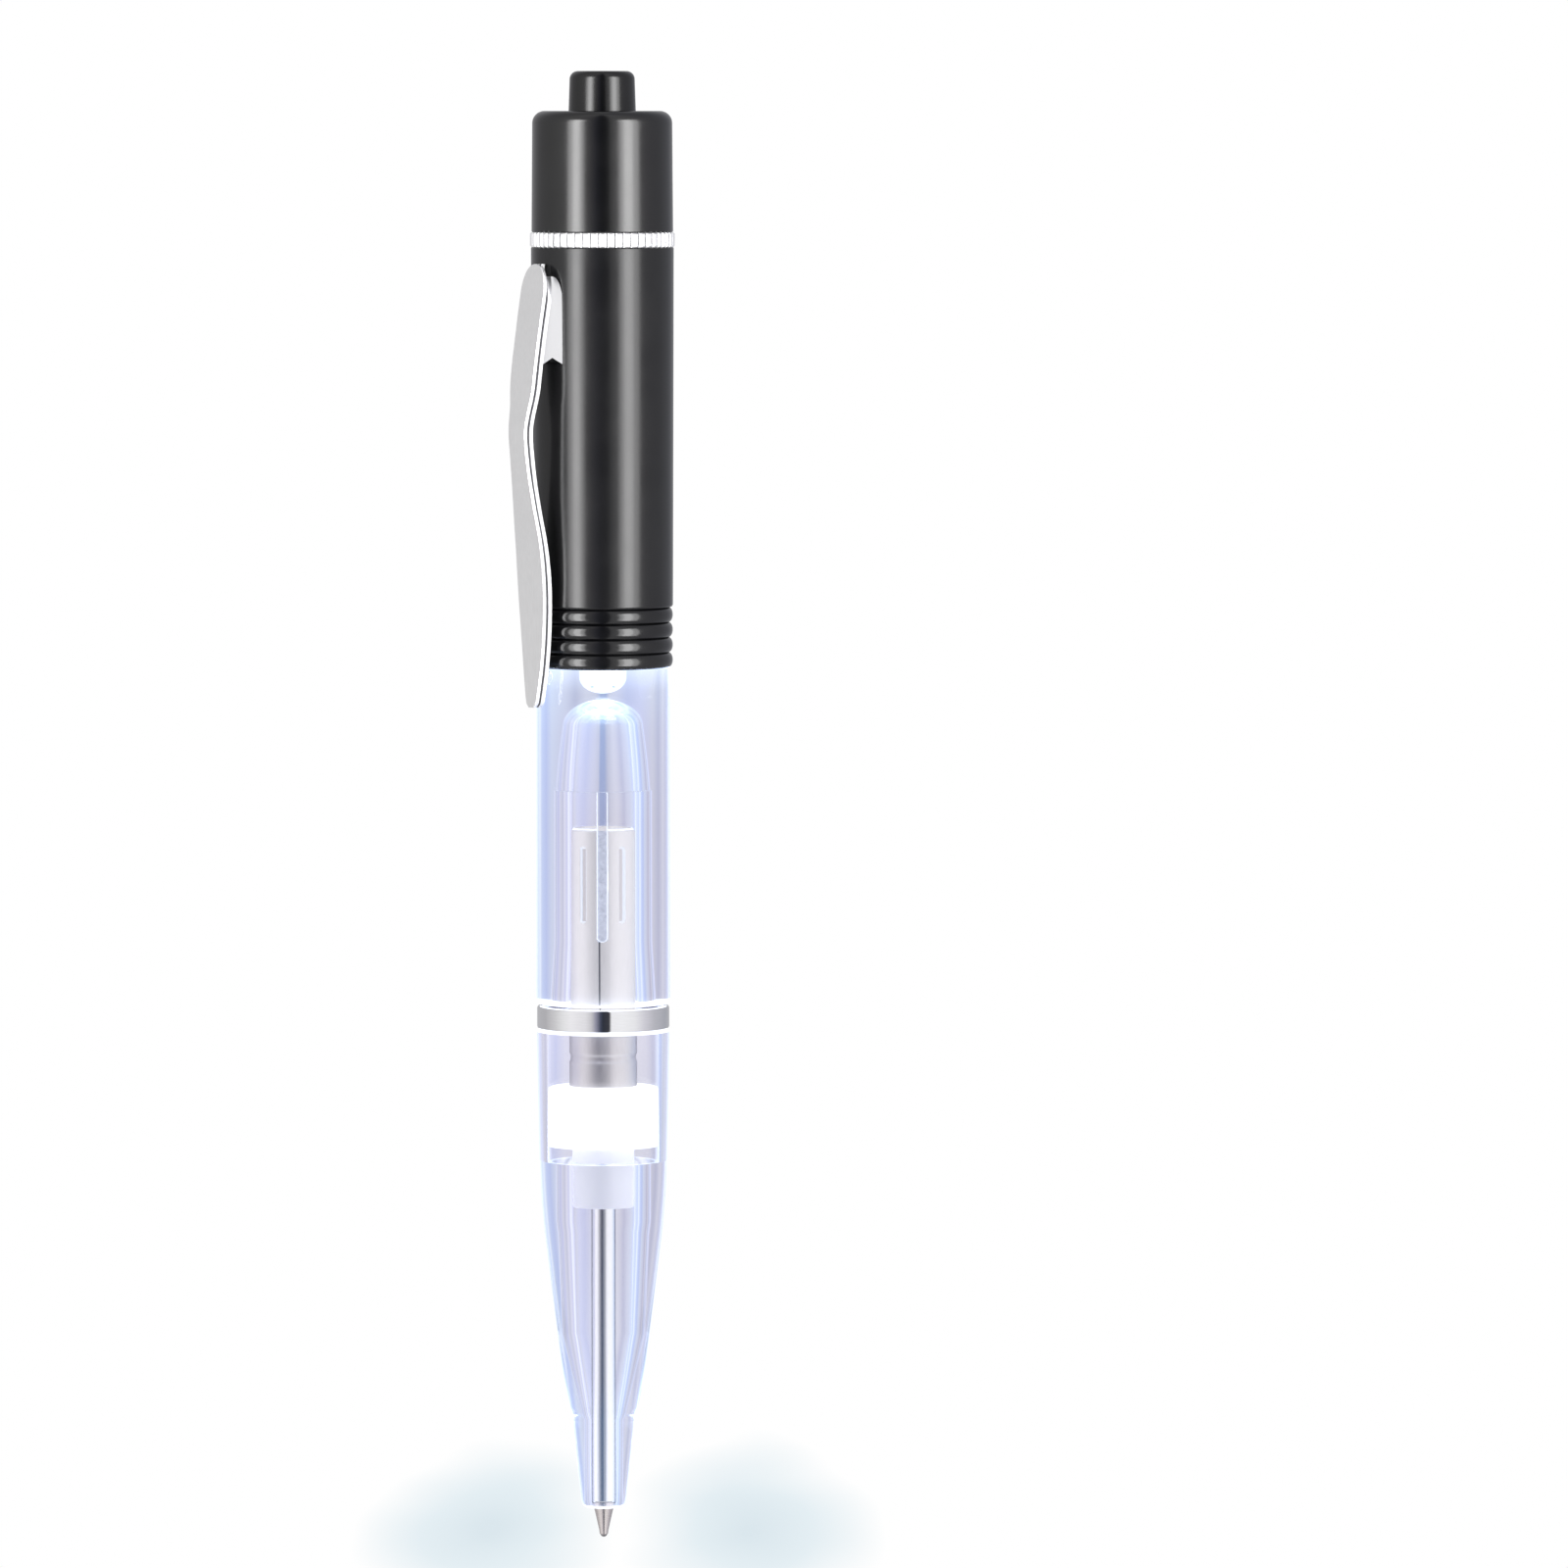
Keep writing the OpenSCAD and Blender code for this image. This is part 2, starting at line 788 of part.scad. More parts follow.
module lower_barrel() {
    top_r = 6.6;
    spigot = 6.06;
    counter_r = collar_r + run_gap;
    guide_r = refill_d / 2 + 0.1;
    color([0.85, 0.88, 1.0, 0.4])
    difference() {
        lathe(concat(
            [[0, z_nose]],
            [[1.5, z_nose]],
            bent([1.7, z_nose], [2.18, z_nose + 0.05], [2.25, z_nose + 1.1]),
            bent([3.12, z_nose + 8.6], [3.22, z_nose + 9.3], [3.62, z_nose + 10], 4),
            bent([5.72, z_nose + 26.6], [6.23, z_nose + 30.6], [6.32, z_nose + 34.4], 6),
            [[top_r, z_shoulder - 0.2], [top_r - 0.2, z_shoulder]],
            [[spigot, z_shoulder], [spigot, z_ring - 0.15], [0, z_ring - 0.15]]
        ));
        lathe(concat(
            [[0, z_nose - 1], [guide_r + 0.15, z_nose - 1], [guide_r + 0.15, z_nose + 0.15]],
            [[guide_r, z_nose + 0.5], [guide_r, z_nose + 9.0], [2.72, z_nose + 17.5]],
            [[3.0, z_nose + 27.5], [carrier_r + 0.08, z_nose + 28.6]],
            [[carrier_r + 0.08, z_collar - 1.5], [counter_r, z_collar - 1.5]],
            [[counter_r, z_ring + 1], [0, z_ring + 1]]
        ));
    }
}

barrel_tube();
ribbed_collar();
light_barrel();
clip_foot();
mechanism_sleeve();
cam_sleeve();
uv_lamp();
lamp_leads();
lamp_holder();
lamp_board();
resistor();
cell_contact();
cell_sleeve();
cell_1();
cell_2();
cell_3();
trim_ring();
head_cap();
switch_housing();
contact_post();
cell_spring();
button_spring();
push_button();
switch_plunger();
moving_contact();
clip_arm();
twist_collar();
refill_carrier();
carrier_pin();
refill_tube();
test_ink();
refill_plug();
refill_point();
writing_ball();
centre_ring();
lower_barrel();
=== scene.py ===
from math import atan2, cos, pi, radians, sin, sqrt

import bmesh
import bpy
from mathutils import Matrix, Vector


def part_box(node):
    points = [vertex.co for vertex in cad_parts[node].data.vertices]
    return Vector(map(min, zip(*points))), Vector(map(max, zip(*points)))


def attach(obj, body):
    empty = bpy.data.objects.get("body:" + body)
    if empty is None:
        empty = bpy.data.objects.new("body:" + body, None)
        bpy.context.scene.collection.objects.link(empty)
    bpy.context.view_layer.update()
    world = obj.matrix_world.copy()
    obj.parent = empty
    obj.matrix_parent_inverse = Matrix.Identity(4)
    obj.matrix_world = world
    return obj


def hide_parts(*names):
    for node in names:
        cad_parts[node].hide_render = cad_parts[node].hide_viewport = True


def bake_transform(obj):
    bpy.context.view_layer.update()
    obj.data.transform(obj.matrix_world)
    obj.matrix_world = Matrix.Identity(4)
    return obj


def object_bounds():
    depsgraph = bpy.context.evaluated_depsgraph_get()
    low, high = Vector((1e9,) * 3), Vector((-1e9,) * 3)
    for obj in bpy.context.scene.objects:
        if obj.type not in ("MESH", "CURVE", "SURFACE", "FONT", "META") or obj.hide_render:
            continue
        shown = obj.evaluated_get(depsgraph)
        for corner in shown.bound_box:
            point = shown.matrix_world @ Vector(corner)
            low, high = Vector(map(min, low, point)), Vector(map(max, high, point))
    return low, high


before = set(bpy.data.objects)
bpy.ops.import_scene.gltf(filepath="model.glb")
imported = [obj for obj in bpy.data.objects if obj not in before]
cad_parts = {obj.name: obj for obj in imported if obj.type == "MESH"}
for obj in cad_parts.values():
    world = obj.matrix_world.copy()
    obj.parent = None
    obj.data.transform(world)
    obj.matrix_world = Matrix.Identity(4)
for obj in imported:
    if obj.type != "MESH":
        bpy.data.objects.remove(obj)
cad_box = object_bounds()

MM = 0.001
# Steps round a turned piece, round a clear barrel, and round the sleeve with its narrow flutes
SEGMENTS = 160
FINE_SEGMENTS = 240
SLEEVE_SEGMENTS = 288
SHARP = radians(32)
TINY = 1e-7

# The clear barrel's key and the sleeve's slot face this way about the axis
KEY_ANGLE = radians(232)
KEY_WIDTH = 0.85 * MM

# View of the photograph: bearing, distance, height and sideways place of the eye
VIEW_BEARING = radians(-38)
VIEW_DISTANCE = 1.0
EYE_HEIGHT = 140.6 * MM
EYE_ASIDE = 17.8 * MM
VIEW_PITCH = radians(3.78)
LENS = 234
SENSOR_WIDTH = 36
FLOOR_Z = -12 * MM
FLOOR_R = 3.0


# ---- Outlines, as points (radius, height) ----

def span(node):
    """Outer radius, lowest and highest point of a CAD node that is round about the axis."""
    low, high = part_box(node)
    return high.x, low.z, high.z


def round_edge(r, z, radius, start, end, steps=7):
    """Round edge about (r, z), from angle start to angle end in degrees."""
    turns = [radians(start + (end - start) * k / steps) for k in range(steps + 1)]
    return [(r + radius * cos(a), z + radius * sin(a)) for a in turns]


def bend(p, corner, q, steps=8):
    """Smooth curve from p to q that starts and ends in line with corner."""
    points = []
    for k in range(steps + 1):
        u = k / steps
        near, mid, far = (1 - u) ** 2, 2 * u * (1 - u), u * u
        points.append(tuple(near * a + mid * b + far * c for a, b, c in zip(p, corner, q)))
    return points


def run(p, q, steps):
    """Straight run from p to q in equal steps, for walls that a relief is cut into."""
    return [
        (p[0] + (q[0] - p[0]) * k / steps, p[1] + (q[1] - p[1]) * k / steps)
        for k in range(steps + 1)
    ]


def smooth(stations, s):
    """Value at s on a smooth curve through stations (place, value)."""
    last = len(stations) - 1
    i = max(k for k in range(last) if stations[k][0] <= s or k == 0)

    def slope(k):
        a, b = stations[max(k - 1, 0)], stations[min(k + 1, last)]
        return (b[1] - a[1]) / (b[0] - a[0])

    (s0, v0), (s1, v1) = stations[i], stations[i + 1]
    h = s1 - s0
    u = (s - s0) / h
    return (
        v0 * (2 * u ** 3 - 3 * u ** 2 + 1) + slope(i) * h * (u ** 3 - 2 * u ** 2 + u)
        + v1 * (3 * u ** 2 - 2 * u ** 3) + slope(i + 1) * h * (u ** 3 - u ** 2)
    )


# ---- Meshes ----

def to_object(name, bm, sharp=SHARP):
    """Object from a bmesh, smooth but for edges sharper than the given angle."""
    bmesh.ops.remove_doubles(bm, verts=bm.verts, dist=TINY)
    bmesh.ops.recalc_face_normals(bm, faces=bm.faces)
    mesh = bpy.data.meshes.new(name)
    bm.to_mesh(mesh)
    bm.free()
    mesh.polygons.foreach_set("use_smooth", [True] * len(mesh.polygons))
    mesh.set_sharp_from_angle(angle=sharp)
    piece = bpy.data.objects.new(name, mesh)
    bpy.context.scene.collection.objects.link(piece)
    return piece


def lathe(name, outline, closed=False, relief=None, segments=SEGMENTS, sharp=SHARP):
    """Turned solid. A closed outline runs round a ring's section; an open one ends on the axis.

    relief(r, z, angle) gives the radius that a point moves to."""
    bm = bmesh.new()
    rings = []
    for r, z in outline:
        if r < TINY:
            rings.append([bm.verts.new((0, 0, z))] * segments)
            continue
        ring = []
        for k in range(segments):
            angle = 2 * pi * k / segments
            rr = relief(r, z, angle) if relief else r
            ring.append(bm.verts.new((rr * cos(angle), rr * sin(angle), z)))
        rings.append(ring)
    pairs = list(zip(rings, rings[1:]))
    if closed:
        pairs.append((rings[-1], rings[0]))
    for lower, upper in pairs:
        for k in range(segments):
            n = (k + 1) % segments
            corners = list(dict.fromkeys([lower[k], lower[n], upper[n], upper[k]]))
            if len(corners) > 2:
                bm.faces.new(corners)
    return to_object(name, bm, sharp)


def loft(name, sections, sharp=SHARP):
    """Solid through closed sections of equal length, with both ends closed."""
    bm = bmesh.new()
    rings = [[bm.verts.new(p) for p in section] for section in sections]
    for lower, upper in zip(rings, rings[1:]):
        for k in range(len(lower)):
            n = (k + 1) % len(lower)
            bm.faces.new((lower[k], lower[n], upper[n], upper[k]))
    bm.faces.new(rings[0])
    bm.faces.new(reversed(rings[-1]))
    return to_object(name, bm, sharp)


def cut(piece, cutter):
    """Takes the cutter out of the piece, and removes the cutter."""
    tool = piece.modifiers.new("cut", "BOOLEAN")
    tool.operation, tool.solver, tool.object = "DIFFERENCE", "EXACT", cutter
    evaluated = piece.evaluated_get(bpy.context.evaluated_depsgraph_get())
    mesh = bpy.data.meshes.new_from_object(evaluated)
    piece.modifiers.remove(tool)
    piece.data = mesh
    mesh.set_sharp_from_angle(angle=SHARP)
    bpy.data.objects.remove(cutter)


def from_key(angle):
    """Angle from the key's middle, between -pi and pi."""
    return atan2(sin(angle - KEY_ANGLE), cos(angle - KEY_ANGLE))


def place(piece, body, slot, material, *nodes):
    """Gives a piece its material and body, and hides the CAD nodes it stands for; slot is not used."""
    if not piece.data.materials:
        piece.data.materials.append(material)
    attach(piece, body)
    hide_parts(*nodes)
    return piece


def light_up(piece, material, chosen):
    """Gives another material to the faces whose middle (radius, height, angle) is chosen."""
    piece.data.materials.append(material)
    index = len(piece.data.materials) - 1
    for face in piece.data.polygons:
        x, y, z = face.center
        if chosen(sqrt(x * x + y * y), z, atan2(y, x)):
            face.material_index = index


# ---- Materials ----

# Range that most of a noise texture's values lie in
NOISE = (0.3, 0.7)

# Painted light on the clear barrels, emission that stands for the lamp's light carried in the acrylic: at
# the rims, in the bores and round the lamp's lens
RIM_GLOW = (0.60, 0.72, 0.96, 1)
RIM_FACING = (0.60, 0.96)
BORE_SHARE = 0.3
LAMP_GLOW_REACH = 4 * MM
LAMP_GLOW = [
    (0.0, (1.0, 1.0, 1.0)), (0.30, (0.95, 1.0, 1.0)), (0.38, (0.36, 0.50, 0.62)),
    (0.60, (0.10, 0.17, 0.25)), (1.0, (0, 0, 0)),
]
ACRYLIC_INDEX = 1.49
ABSORPTION = 12
ABSORBED_LEAST = (0.30, 0.38, 0.72, 1)


def shader_of(material):
    """The material's Principled shader."""
    return material.node_tree.nodes["Principled BSDF"]


def new_material(name, **sockets):
    """Principled material; each keyword sets the shader's socket of that name."""
    material = bpy.data.materials.new(name)
    material.use_nodes = True
    for socket, value in sockets.items():
        shader_of(material).inputs[socket.replace("_", " ")].default_value = value
    return material


def feed(owner, socket, value):
    """Links an output to the socket, or sets a number or colour on it."""
    if isinstance(value, bpy.types.NodeSocket):
        owner.node_tree.links.new(value, socket)
    else:
        socket.default_value = value


def plug(material, value, socket):
    """Drives the shader's socket with the value."""
    feed(material, shader_of(material).inputs[socket], value)


def place_of(material):
    """Place on the object, in metres."""
    return material.node_tree.nodes.new("ShaderNodeTexCoord").outputs["Object"]


def worked(owner, operation, first, second=None, vector=False):
    """Result of an operation on numbers or on vectors; the owner is a material or the world."""
    node = owner.node_tree.nodes.new("ShaderNodeVectorMath" if vector else "ShaderNodeMath")
    node.operation = operation
    feed(owner, node.inputs[0], first)
    if second is not None:
        feed(owner, node.inputs[1], second)
    single = not vector or operation in ("LENGTH", "DISTANCE", "DOT_PRODUCT")
    return node.outputs["Value" if single else "Vector"]


def between(owner, value, source, target):
    """Value carried from the source range to the target range, and kept inside it."""
    node = owner.node_tree.nodes.new("ShaderNodeMapRange")
    for socket, number in zip(("From Min", "From Max", "To Min", "To Max"), (*source, *target)):
        node.inputs[socket].default_value = number
    feed(owner, node.inputs["Value"], value)
    return node.outputs["Result"]


def colours(owner, value, stops):
    """Colour ramp over value; stops are (place, colour)."""
    ramp = owner.node_tree.nodes.new("ShaderNodeValToRGB")
    elements = ramp.color_ramp.elements
    while len(elements) < len(stops):
        elements.new(0.5)
    for element, (place_on_ramp, colour) in zip(elements, stops):
        element.position = place_on_ramp
        element.color = (*colour, 1)
    feed(owner, ramp.inputs["Fac"], value)
    return ramp.outputs["Color"]


def mixed(material, kind, factor, first, second):
    """Colour made of two."""
    node = material.node_tree.nodes.new("ShaderNodeMix")
    node.data_type = "RGBA"
    node.blend_type = kind
    for socket, value in ((0, factor), (6, first), (7, second)):
        feed(material, node.inputs[socket], value)
    return node.outputs[2]


def grain(material, size, stretch=(1, 1, 1), detail=3.0):
    """Noise with features of the given size in metres; stretch lengthens them along X, Y, Z."""
    nodes = material.node_tree.nodes
    scaled = nodes.new("ShaderNodeMapping")
    scaled.inputs["Scale"].default_value = [1 / (size * s) for s in stretch]
    noise = nodes.new("ShaderNodeTexNoise")
    noise.inputs["Scale"].default_value = 1.0
    noise.inputs["Detail"].default_value = detail
    feed(material, scaled.inputs["Vector"], place_of(material))
    feed(material, noise.inputs["Vector"], scaled.outputs["Vector"])
    return noise.outputs["Fac"]


def tinted(material, value, dark, light):
    """Colour that wanders from dark to light with a noise."""
    return colours(material, value, list(zip(NOISE, (dark, light))))


def relief_bump(material, value, depth):
    """Bump of the given depth in metres."""
    bump = material.node_tree.nodes.new("ShaderNodeBump")
    bump.inputs["Distance"].default_value = depth
    feed(material, bump.inputs["Height"], value)
    plug(material, bump.outputs["Normal"], "Normal")


def lacquer(name, index, roughness, dark, light):
    """Black satin paint: a faint orange peel and a little unevenness in its gloss."""
    material = new_material(name, Roughness=roughness, IOR=index)
    peel = grain(material, 0.35 * MM)
    patches = grain(material, 4 * MM, detail=5)
    plug(material, between(material, patches, NOISE, (roughness * 0.9, roughness * 1.15)), "Roughness")
    plug(material, tinted(material, patches, dark, light), "Base Color")
    relief_bump(material, peel, 0.0006 * MM)
    return material


def metal(name, dark, light, roughness, size, stretch=(1, 1, 1), depth=0.0004):
    """Metal whose finish runs in fine lines: size and stretch set their scale and direction."""
    material = new_material(name, Metallic=1.0)
    lines = grain(material, size, stretch, detail=4)
    plug(material, between(material, lines, NOISE, roughness), "Roughness")
    plug(material, tinted(material, lines, dark, light), "Base Color")
    relief_bump(material, lines, depth * MM)
    return material


def plastic(name, dark, light, roughness, size=0.3 * MM, glow=0.0, glow_colour=(1, 1, 1), soft=0.0):
    """Moulded plastic with a fine skin; glow is emission, the lamp's own light on its epoxy and painted
    light from the lamp on other parts.
    """
    material = new_material(
        name, Subsurface_Weight=soft, Emission_Color=(*glow_colour, 1), Emission_Strength=glow)
    shader_of(material).inputs["Subsurface Radius"].default_value = (1 * MM, 1 * MM, 1.2 * MM)
    skin = grain(material, size)
    plug(material, between(material, skin, NOISE, (roughness * 0.85, roughness * 1.2)), "Roughness")
    plug(material, tinted(material, skin, dark, light), "Base Color")
    relief_bump(material, skin, 0.002 * MM)
    return material


def near_lamp(material):
    """0 at the lamp's lens, 1 as far from it as the painted glow round the lens reaches."""
    lens = (0, 0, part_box("uv_lamp")[0].z)
    gap = worked(material, "DISTANCE", place_of(material), lens, vector=True)
    return between(material, gap, (0, LAMP_GLOW_REACH), (0, 1))


def height_of(material, low, high):
    """0 at height low, 1 at height high, along the pen."""
    parts = material.node_tree.nodes.new("ShaderNodeSeparateXYZ")
    feed(material, parts.inputs["Vector"], place_of(material))
    return between(material, parts.outputs["Z"], (low, high), (0, 1))


def outer_share(material, height, parting):
    """1 on the outer surface and BORE_SHARE in the bore.

    parting is the radius between the two at the lowest and at the highest point."""
    fade = 0.1 * MM
    level = worked(material, "MULTIPLY", place_of(material), (1, 1, 0), vector=True)
    radius = worked(material, "LENGTH", level, vector=True)
    middle = between(material, height, (0, 1), parting)
    beyond = worked(material, "SUBTRACT", radius, middle)
    return between(material, beyond, (-fade, fade), (BORE_SHARE, 1))


def rim_share(material, height, parting):
    """How much of the painted rim glow shows: most where the surface turns away from the eye."""
    weight = material.node_tree.nodes.new("ShaderNodeLayerWeight")
    rim = between(material, weight.outputs["Facing"], RIM_FACING, (0, 1))
    return worked(material, "MULTIPLY", rim, outer_share(material, height, parting))


def acrylic(name, low, high, glow_stops, parting):
    """Clear acrylic with painted light, emission for the lamp's light it carries: glow_stops colour it
    along its height.
    """
    material = new_material(
        name, Transmission_Weight=1.0, IOR=ACRYLIC_INDEX, Roughness=0.0, Emission_Strength=1.0,
        Base_Color=(0.985, 0.99, 1.0, 1))
    height = height_of(material, low, high)
    along = colours(material, height, glow_stops)
    lamp = colours(material, near_lamp(material), LAMP_GLOW)
    glow = mixed(material, "ADD", 1.0, along, lamp)
    rim = rim_share(material, height, parting)
    plug(material, mixed(material, "MIX", rim, glow, RIM_GLOW), "Emission Color")
    relief_bump(material, grain(material, 1.5 * MM, stretch=(1, 1, 6)), 0.002 * MM)
    nodes = material.node_tree.nodes
    absorb = nodes.new("ShaderNodeVolumeAbsorption")
    absorb.inputs["Color"].default_value = ABSORBED_LEAST
    absorb.inputs["Density"].default_value = ABSORPTION
    feed(material, nodes["Material Output"].inputs["Volume"], absorb.outputs["Volume"])
    return material


black_lacquer = lacquer("black_lacquer", 1.46, 0.2, (0.0045, 0.0045, 0.005), (0.006, 0.006, 0.0065))
black_head = lacquer("black_head", 1.58, 0.19, (0.001, 0.001, 0.0012), (0.0015, 0.0015, 0.0017))
black_button = lacquer("black_button", 1.5, 0.18, (0.0008, 0.0008, 0.001), (0.0014, 0.0014, 0.0016))
black_gloss = lacquer("black_collar", 1.5, 0.14, (0.002, 0.002, 0.0025), (0.004, 0.004, 0.0045))
chrome = metal("chrome_trim", (0.88, 0.88, 0.90), (0.93, 0.93, 0.95), (0.03, 0.07), 0.05 * MM,
               (30, 30, 1), 0.00005)
knurl_chrome = metal("knurl_chrome", (0.93, 0.93, 0.94), (0.98, 0.98, 0.98), (0.42, 0.5), 0.2 * MM)
shaded_metal = metal("shaded_metal", (0.34, 0.34, 0.35), (0.46, 0.46, 0.47), (0.35, 0.45), 0.1 * MM)
satin = metal("satin_steel", (0.80, 0.80, 0.80), (0.85, 0.85, 0.85), (0.36, 0.42), 0.06 * MM,
              (1, 1, 25), 0.0002)
polished = metal("polished_edge", (0.93, 0.93, 0.94), (0.97, 0.97, 0.98), (0.30, 0.36), 0.1 * MM)
nickel = metal("bright_nickel", (0.74, 0.71, 0.70), (0.80, 0.77, 0.76), (0.40, 0.48), 0.12 * MM,
               (1, 1, 8), 0.0001)
lit_nickel = metal("lit_nickel", (0.46, 0.45, 0.44), (0.52, 0.50, 0.50), (0.40, 0.48), 0.12 * MM,
                   (1, 1, 8), 0.0001)
for metal_part in (nickel, lit_nickel):
    shader_of(metal_part).inputs["Specular Tint"].default_value = (0.4, 0.4, 0.45, 1)
# lit_nickel: darker nickel with a faint glow, painted light from the lamp
shader_of(lit_nickel).inputs["Emission Color"].default_value = (1, 0.98, 1, 1)
shader_of(lit_nickel).inputs["Emission Strength"].default_value = 0.44
refill_steel = metal("refill_steel", (0.90, 0.90, 0.91), (0.97, 0.97, 0.97), (0.10, 0.16), 0.04 * MM,
                     (1, 1, 60), 0.0001)
shader_of(refill_steel).inputs["Specular Tint"].default_value = (0.12, 0.12, 0.14, 1)
nickel_silver = metal("nickel_silver", (0.72, 0.66, 0.65), (0.82, 0.77, 0.76), (0.2, 0.3), 0.03 * MM,
                      (20, 20, 1), 0.0006)
carbide = metal("carbide_ball", (0.25, 0.24, 0.25), (0.34, 0.33, 0.34), (0.08, 0.16), 0.05 * MM)
# white_collar, milky_plastic and white_plastic glow: painted light from the lamp
white_collar = plastic("white_collar", (0.90, 0.91, 0.94), (0.95, 0.96, 0.98), 0.35, glow=0.75,
                       glow_colour=(0.93, 0.96, 1.0), soft=0.2)
milky = plastic("milky_plastic", (0.80, 0.81, 0.86), (0.86, 0.87, 0.91), 0.3, glow=0.42,
                glow_colour=(0.86, 0.88, 1.0), soft=0.4)
white_plastic = plastic("white_plastic", (0.80, 0.80, 0.82), (0.88, 0.88, 0.9), 0.4, glow=0.1,
                        glow_colour=(0.85, 0.88, 1.0))
dark_plastic = plastic("switch_plastic", (0.02, 0.02, 0.022), (0.03, 0.03, 0.033), 0.45)
component = plastic("component_black", (0.015, 0.015, 0.015), (0.03, 0.03, 0.03), 0.4)
laminate = plastic("board_laminate", (0.02, 0.09, 0.045), (0.03, 0.13, 0.06), 0.35, 0.08 * MM)
film = plastic("insulating_film", (0.62, 0.52, 0.25), (0.72, 0.62, 0.33), 0.25)
ink = plastic("test_ink", (0.05, 0.022, 0.008), (0.09, 0.04, 0.015), 0.15)
brass = metal("contact_brass", (0.72, 0.53, 0.22), (0.82, 0.62, 0.28), (0.2, 0.32), 0.08 * MM)
cell_can = metal("cell_can", (0.68, 0.68, 0.68), (0.76, 0.76, 0.76), (0.18, 0.3), 0.1 * MM)
wire = metal("spring_wire", (0.66, 0.66, 0.67), (0.76, 0.76, 0.77), (0.16, 0.26), 0.05 * MM)
tin = metal("tinned_wire", (0.70, 0.70, 0.71), (0.80, 0.80, 0.81), (0.22, 0.34), 0.05 * MM)
lit_epoxy = plastic("lamp_epoxy", (0.85, 0.9, 1.0), (0.95, 0.97, 1.0), 0.1, glow=7.0,
                    glow_colour=(0.80, 0.91, 1.0))
# lit_edge, lit_line and lit_key: painted light, glowing finishes for the lamp's light on rims, edges and
# the key
lit_edge = plastic("lit_edge", (0.9, 0.93, 1.0), (0.95, 0.97, 1.0), 0.3, glow=0.9,
                   glow_colour=(0.88, 0.93, 1.0))
lit_line = plastic("lit_line", (0.6, 0.62, 0.66), (0.8, 0.82, 0.86), 0.3, size=0.25 * MM, glow=0.6,
                   glow_colour=(0.86, 0.92, 1.0))
lit_key = plastic("lit_key", (0.40, 0.42, 0.48), (0.62, 0.64, 0.70), 0.3, size=0.4 * MM, glow=0.36,
                  glow_colour=(0.82, 0.86, 1.0))


# ---- Head, button and trim ring ----

def head_shell():
    """Black head with a rounded top, a hole for the button and a threaded neck below."""
    node_r, z_neck, z_top = span("head_cap")
    z_head = span("trim_ring")[2]
    neck_r = span("cell_sleeve")[0] - 0.04 * MM
    bore_r = 3.41 * MM
    cavity_r = 5.28 * MM
    flange_r = 4.7 * MM
    z_roof = z_top - 1.6 * MM
    z_seat = span("switch_housing")[2] + 0.05 * MM
    top_r = node_r - 0.08 * MM
    edge = 1.2 * MM
    mouth_edge = 0.15 * MM
    chamfer = 0.12 * MM
    lead_in = 0.3 * MM
    pitch = 0.75 * MM
    thread = 0.16 * MM
    z_thread = z_neck + 0.4 * MM
    z_run_out = z_head - 1.4 * MM

    def screw(r, z, angle):
        """Thread with straight flanks on the neck."""
        if abs(r - neck_r) > TINY or not z_thread <= z <= z_run_out:
            return r
        turn = z / pitch - angle / (2 * pi)
        return r - thread * 2 * abs(turn - round(turn))

    outline = (
        [(neck_r - lead_in, z_neck), (neck_r, z_neck + lead_in)]
        + run((neck_r, z_thread), (neck_r, z_run_out), 70)
        + [(neck_r, z_head - 0.01 * MM), (neck_r, z_head), (node_r - chamfer, z_head)]
        + [(node_r, z_head + chamfer)]
        + round_edge(top_r - edge, z_top - edge, edge, 0, 90, 12)
        + [(bore_r + mouth_edge, z_top)]
        + round_edge(bore_r + mouth_edge, z_top - mouth_edge, mouth_edge, 90, 180, 4)
        + [(bore_r, z_roof), (flange_r, z_roof), (flange_r, z_seat), (cavity_r, z_seat)]
        + [(cavity_r, z_neck)]
    )
    return lathe("head_shell", outline, closed=True, relief=screw)


def button_cap():
    """Button with a rounded top edge and a shallow dish, on a flange inside the head."""
    flange_r, z_flange, z_top = span("push_button")
    foot_r = 3.35 * MM
    top_r = foot_r - 0.16 * MM
    edge = 0.8 * MM
    dish_r = 1.9 * MM
    dish_depth = 0.1 * MM
    z_dish = z_top - dish_depth
    z_collar = z_flange + 2.35 * MM
    outline = (
        [(0, z_flange), (flange_r, z_flange), (flange_r, z_collar), (foot_r, z_collar)]
        + round_edge(top_r - edge, z_top - edge, edge, 0, 90, 10)
        + bend((dish_r, z_top - 0.2 * dish_depth), (1.0 * MM, z_dish), (0, z_dish))
    )
    return lathe("button_cap", outline)


